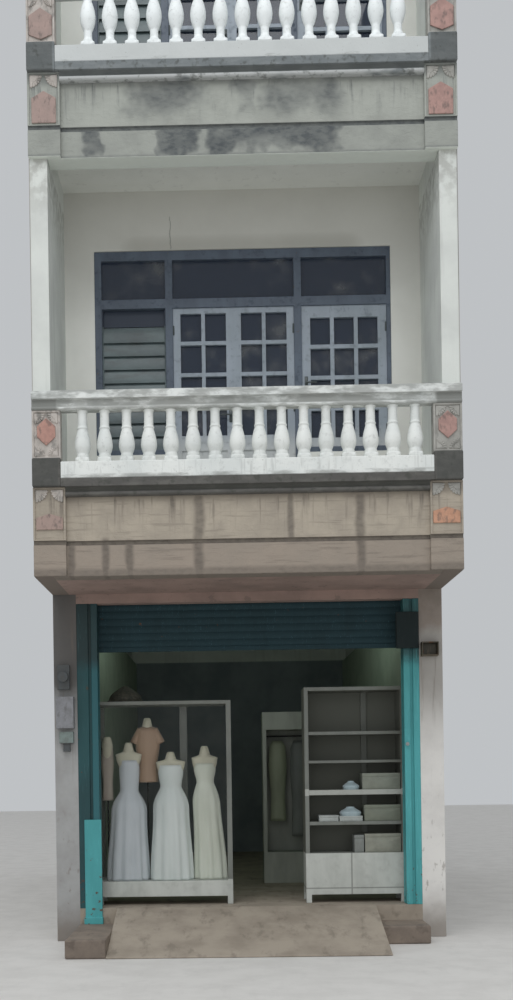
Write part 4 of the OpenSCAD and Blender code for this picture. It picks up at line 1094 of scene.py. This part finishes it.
def sleeve(x, y, z, way):
    """A short open sleeve: rings along a line that goes out and down from the shoulder."""
    t = np.linspace(0.0, 1.0, 8)
    line = np.stack([x + way * (0.065 + 0.085 * t), y + 0.0 * t, z - 0.03 - 0.16 * t], axis=-1)
    return strip(rod(line, 0.05, 32), False)


def form(x, y, bust, shoulder, foot, top):
    """A dress form's upper part: bust, sloping shoulders and a capped neck."""
    t = np.linspace(0.0, 1.0, 28)
    half_x = swept([(0.0, bust, 2), (0.50, shoulder - 0.008, 2), (0.57, shoulder, 2), (0.70, 0.060, 2),
        (0.93, 0.045, 2), (1.0, 0.030, 2)], t)
    half_y = swept([(0.0, 0.75 * bust, 2), (0.57, 0.062, 2), (0.70, 0.052, 2), (0.93, 0.045, 2),
        (1.0, 0.030, 2)], t)
    return oval_rings(x, y, half_x, half_y, foot + (top - foot) * t, 2.0, 48)


def cloth_piece(name, skins, finish, replaced=("gowns",)):
    """One garment of thin cloth, given its thickness by a solidify modifier."""
    made = made_piece(name, skins, finish, replaced, 80.0)
    thick = made.modifiers.new("cloth", "SOLIDIFY")
    thick.thickness = CLOTH
    thick.offset = -1.0


piece("dress_forms", [form(*row) for row in FORMS], LINEN, ("gowns",))
stands = [rod([(x, y, GOWN_FOOT), (x, y, STAND_TOP)], 0.010, 16) for x, y, *_ in FORMS]
foot_radius = np.array([0.11, 0.11, 0.03])
stands.append(oval_rings(*BACK_FORM, foot_radius, foot_radius, GOWN_FOOT + np.array([0.0, 0.012, 0.03]), 2.0,
    40))
piece("form_stands", stands, FINISHES["black_paint"], ("gowns",))

cloth_piece("lavender_gown", [gown(-1.338, -1.3625, -3.245, (0.245, 0.104, 0.114), (1.60, 1.95), 12, 0.4)],
    LAVENDER)
cloth_piece("white_gown", [gown(-0.872, -0.868, -3.270, (0.246, 0.119, 0.141), (1.64, 1.89), 11, 1.9)],
    FINISHES["gown_cloth"])
cloth_piece("cream_gown", [gown(-0.4915, -0.4375, -3.210, (0.192, 0.096, 0.123), (1.69, 1.905), 10, 3.1)],
    CREAM)
cloth_piece("salmon_top", [body(*BACK_FORM, 1.70, 2.33, 0.14), sleeve(*BACK_FORM, 2.33, -1.0),
    sleeve(*BACK_FORM, 2.33, 1.0)], SALMON)


# Dark clothes hanging in the cabinet at the back

CABINET_LOW, CABINET_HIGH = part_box("back_cabinet")
CLOTHES_Y = (CABINET_LOW.y + CABINET_HIGH.y) / 2.0 - 0.02
CLOTHES_TOP = 2.20
RAIL_HEIGHT = 2.26


def hung_garment(name, share, foot, half, finish):
    """One garment on the cabinet's rail, at a share of its width."""
    x = CABINET_LOW.x + share * (CABINET_HIGH.x - CABINET_LOW.x)
    cloth_piece(name, [body(x, CLOTHES_Y, foot, CLOTHES_TOP, half)], finish,
        ())


rail = [(CABINET_LOW.x + 0.01, CLOTHES_Y, RAIL_HEIGHT), (CABINET_HIGH.x - 0.01, CLOTHES_Y, RAIL_HEIGHT)]
piece("cabinet_rail", [rod(rail, 0.010, 12)], FINISHES["black_paint"])
hung_garment("olive_garment", 0.17, 1.15, 0.12, OLIVE)
hung_garment("charcoal_garment", 0.40, 0.95, 0.11, CHARCOAL)
hung_garment("moss_garment", 0.62, 1.10, 0.12, OLIVE)
hung_garment("slate_garment", 0.84, 0.90, 0.11, CHARCOAL)


# The top on the narrow form

cloth_piece("linen_top", [body(*NARROW_FORM, 1.50, 2.12, 0.072)], PINK_LINEN)


# Camera, light and ground

PHOTO_WIDTH, PHOTO_HEIGHT = 513.0, 1000.0
FOCAL_PIXELS = 1193.0
VANISHING_X, VANISHING_Y = 228.3, 770.0
CAMERA_TO_FRONT = 11.7
CAMERA_X, CAMERA_HEIGHT = -0.225, 1.83
TURN_LEFT = 0.0166
ROLL = 0.0145
MIDDLE_X = VANISHING_X - FOCAL_PIXELS * math.tan(TURN_LEFT)

lens = bpy.data.cameras.new("camera")
lens.sensor_width = 36.0
lens.lens = lens.sensor_width * FOCAL_PIXELS / PHOTO_HEIGHT
lens.shift_x = (PHOTO_WIDTH / 2.0 - MIDDLE_X) / PHOTO_HEIGHT
lens.shift_y = (VANISHING_Y - PHOTO_HEIGHT / 2.0) / PHOTO_HEIGHT
lens.clip_end = 200.0
camera = bpy.data.objects.new("camera", lens)
bpy.context.scene.collection.objects.link(camera)
camera.matrix_world = (Matrix.Translation((CAMERA_X, FRONT - CAMERA_TO_FRONT, CAMERA_HEIGHT))
    @ Matrix.Rotation(TURN_LEFT, 4, "Z") @ Matrix.Rotation(math.pi / 2.0, 4, "X")
    @ Matrix.Rotation(-ROLL, 4, "Z"))
bpy.context.scene.camera = camera


def soft_light(name, place, target, size, watts, colour=(1.0, 1.0, 1.0)):
    """A square area light at place, facing target."""
    lamp = bpy.data.lights.new(name, "AREA")
    lamp.size = size
    lamp.energy = watts
    lamp.color = colour
    light = bpy.data.objects.new(name, lamp)
    bpy.context.scene.collection.objects.link(light)
    aim = (Vector(target) - Vector(place)).to_track_quat("-Z", "Y")
    light.matrix_world = Matrix.Translation(place) @ aim.to_matrix().to_4x4()
    return light


soft_light("sky_light", (-3.0, -17.0, 25.0), (0.0, -4.5, 4.0), 16.0, 2700.0, (0.97, 0.985, 1.0))
soft_light("street_light", (0.5, -24.0, 3.0), (0.0, -4.0, 5.0), 14.0, 450.0)
soft_light("shop_light", (0.0, -1.6, 2.9), (0.0, -1.4, 4.5), 1.2, 14.0, (0.82, 1.0, 0.90))
world = bpy.data.worlds.new("daylight")
bpy.context.scene.world = world
world.use_nodes = True
world.node_tree.nodes["Background"].inputs["Color"].default_value = (0.86, 0.89, 0.92, 1.0)
world.node_tree.nodes["Background"].inputs["Strength"].default_value = 0.60
bpy.context.scene.view_settings.view_transform = "Standard"

GROUND_REACH = 40.0
ground_mesh = bpy.data.meshes.new("ground")
corners = np.array([(-1.0, -1.0, 0.0), (1.0, -1.0, 0.0), (1.0, 1.0, 0.0), (-1.0, 1.0, 0.0)])
ground_mesh.from_pydata((corners * GROUND_REACH - (0.0, 0.0, 0.002)).tolist(), [], [(0, 1, 2, 3)])
ground = bpy.data.objects.new("ground", ground_mesh)
bpy.context.scene.collection.objects.link(ground)
clothe(ground, trowelled_cement("pale_ground", (0.73, 0.71, 0.68), (0.67, 0.65, 0.62), 0.002, 0.15))
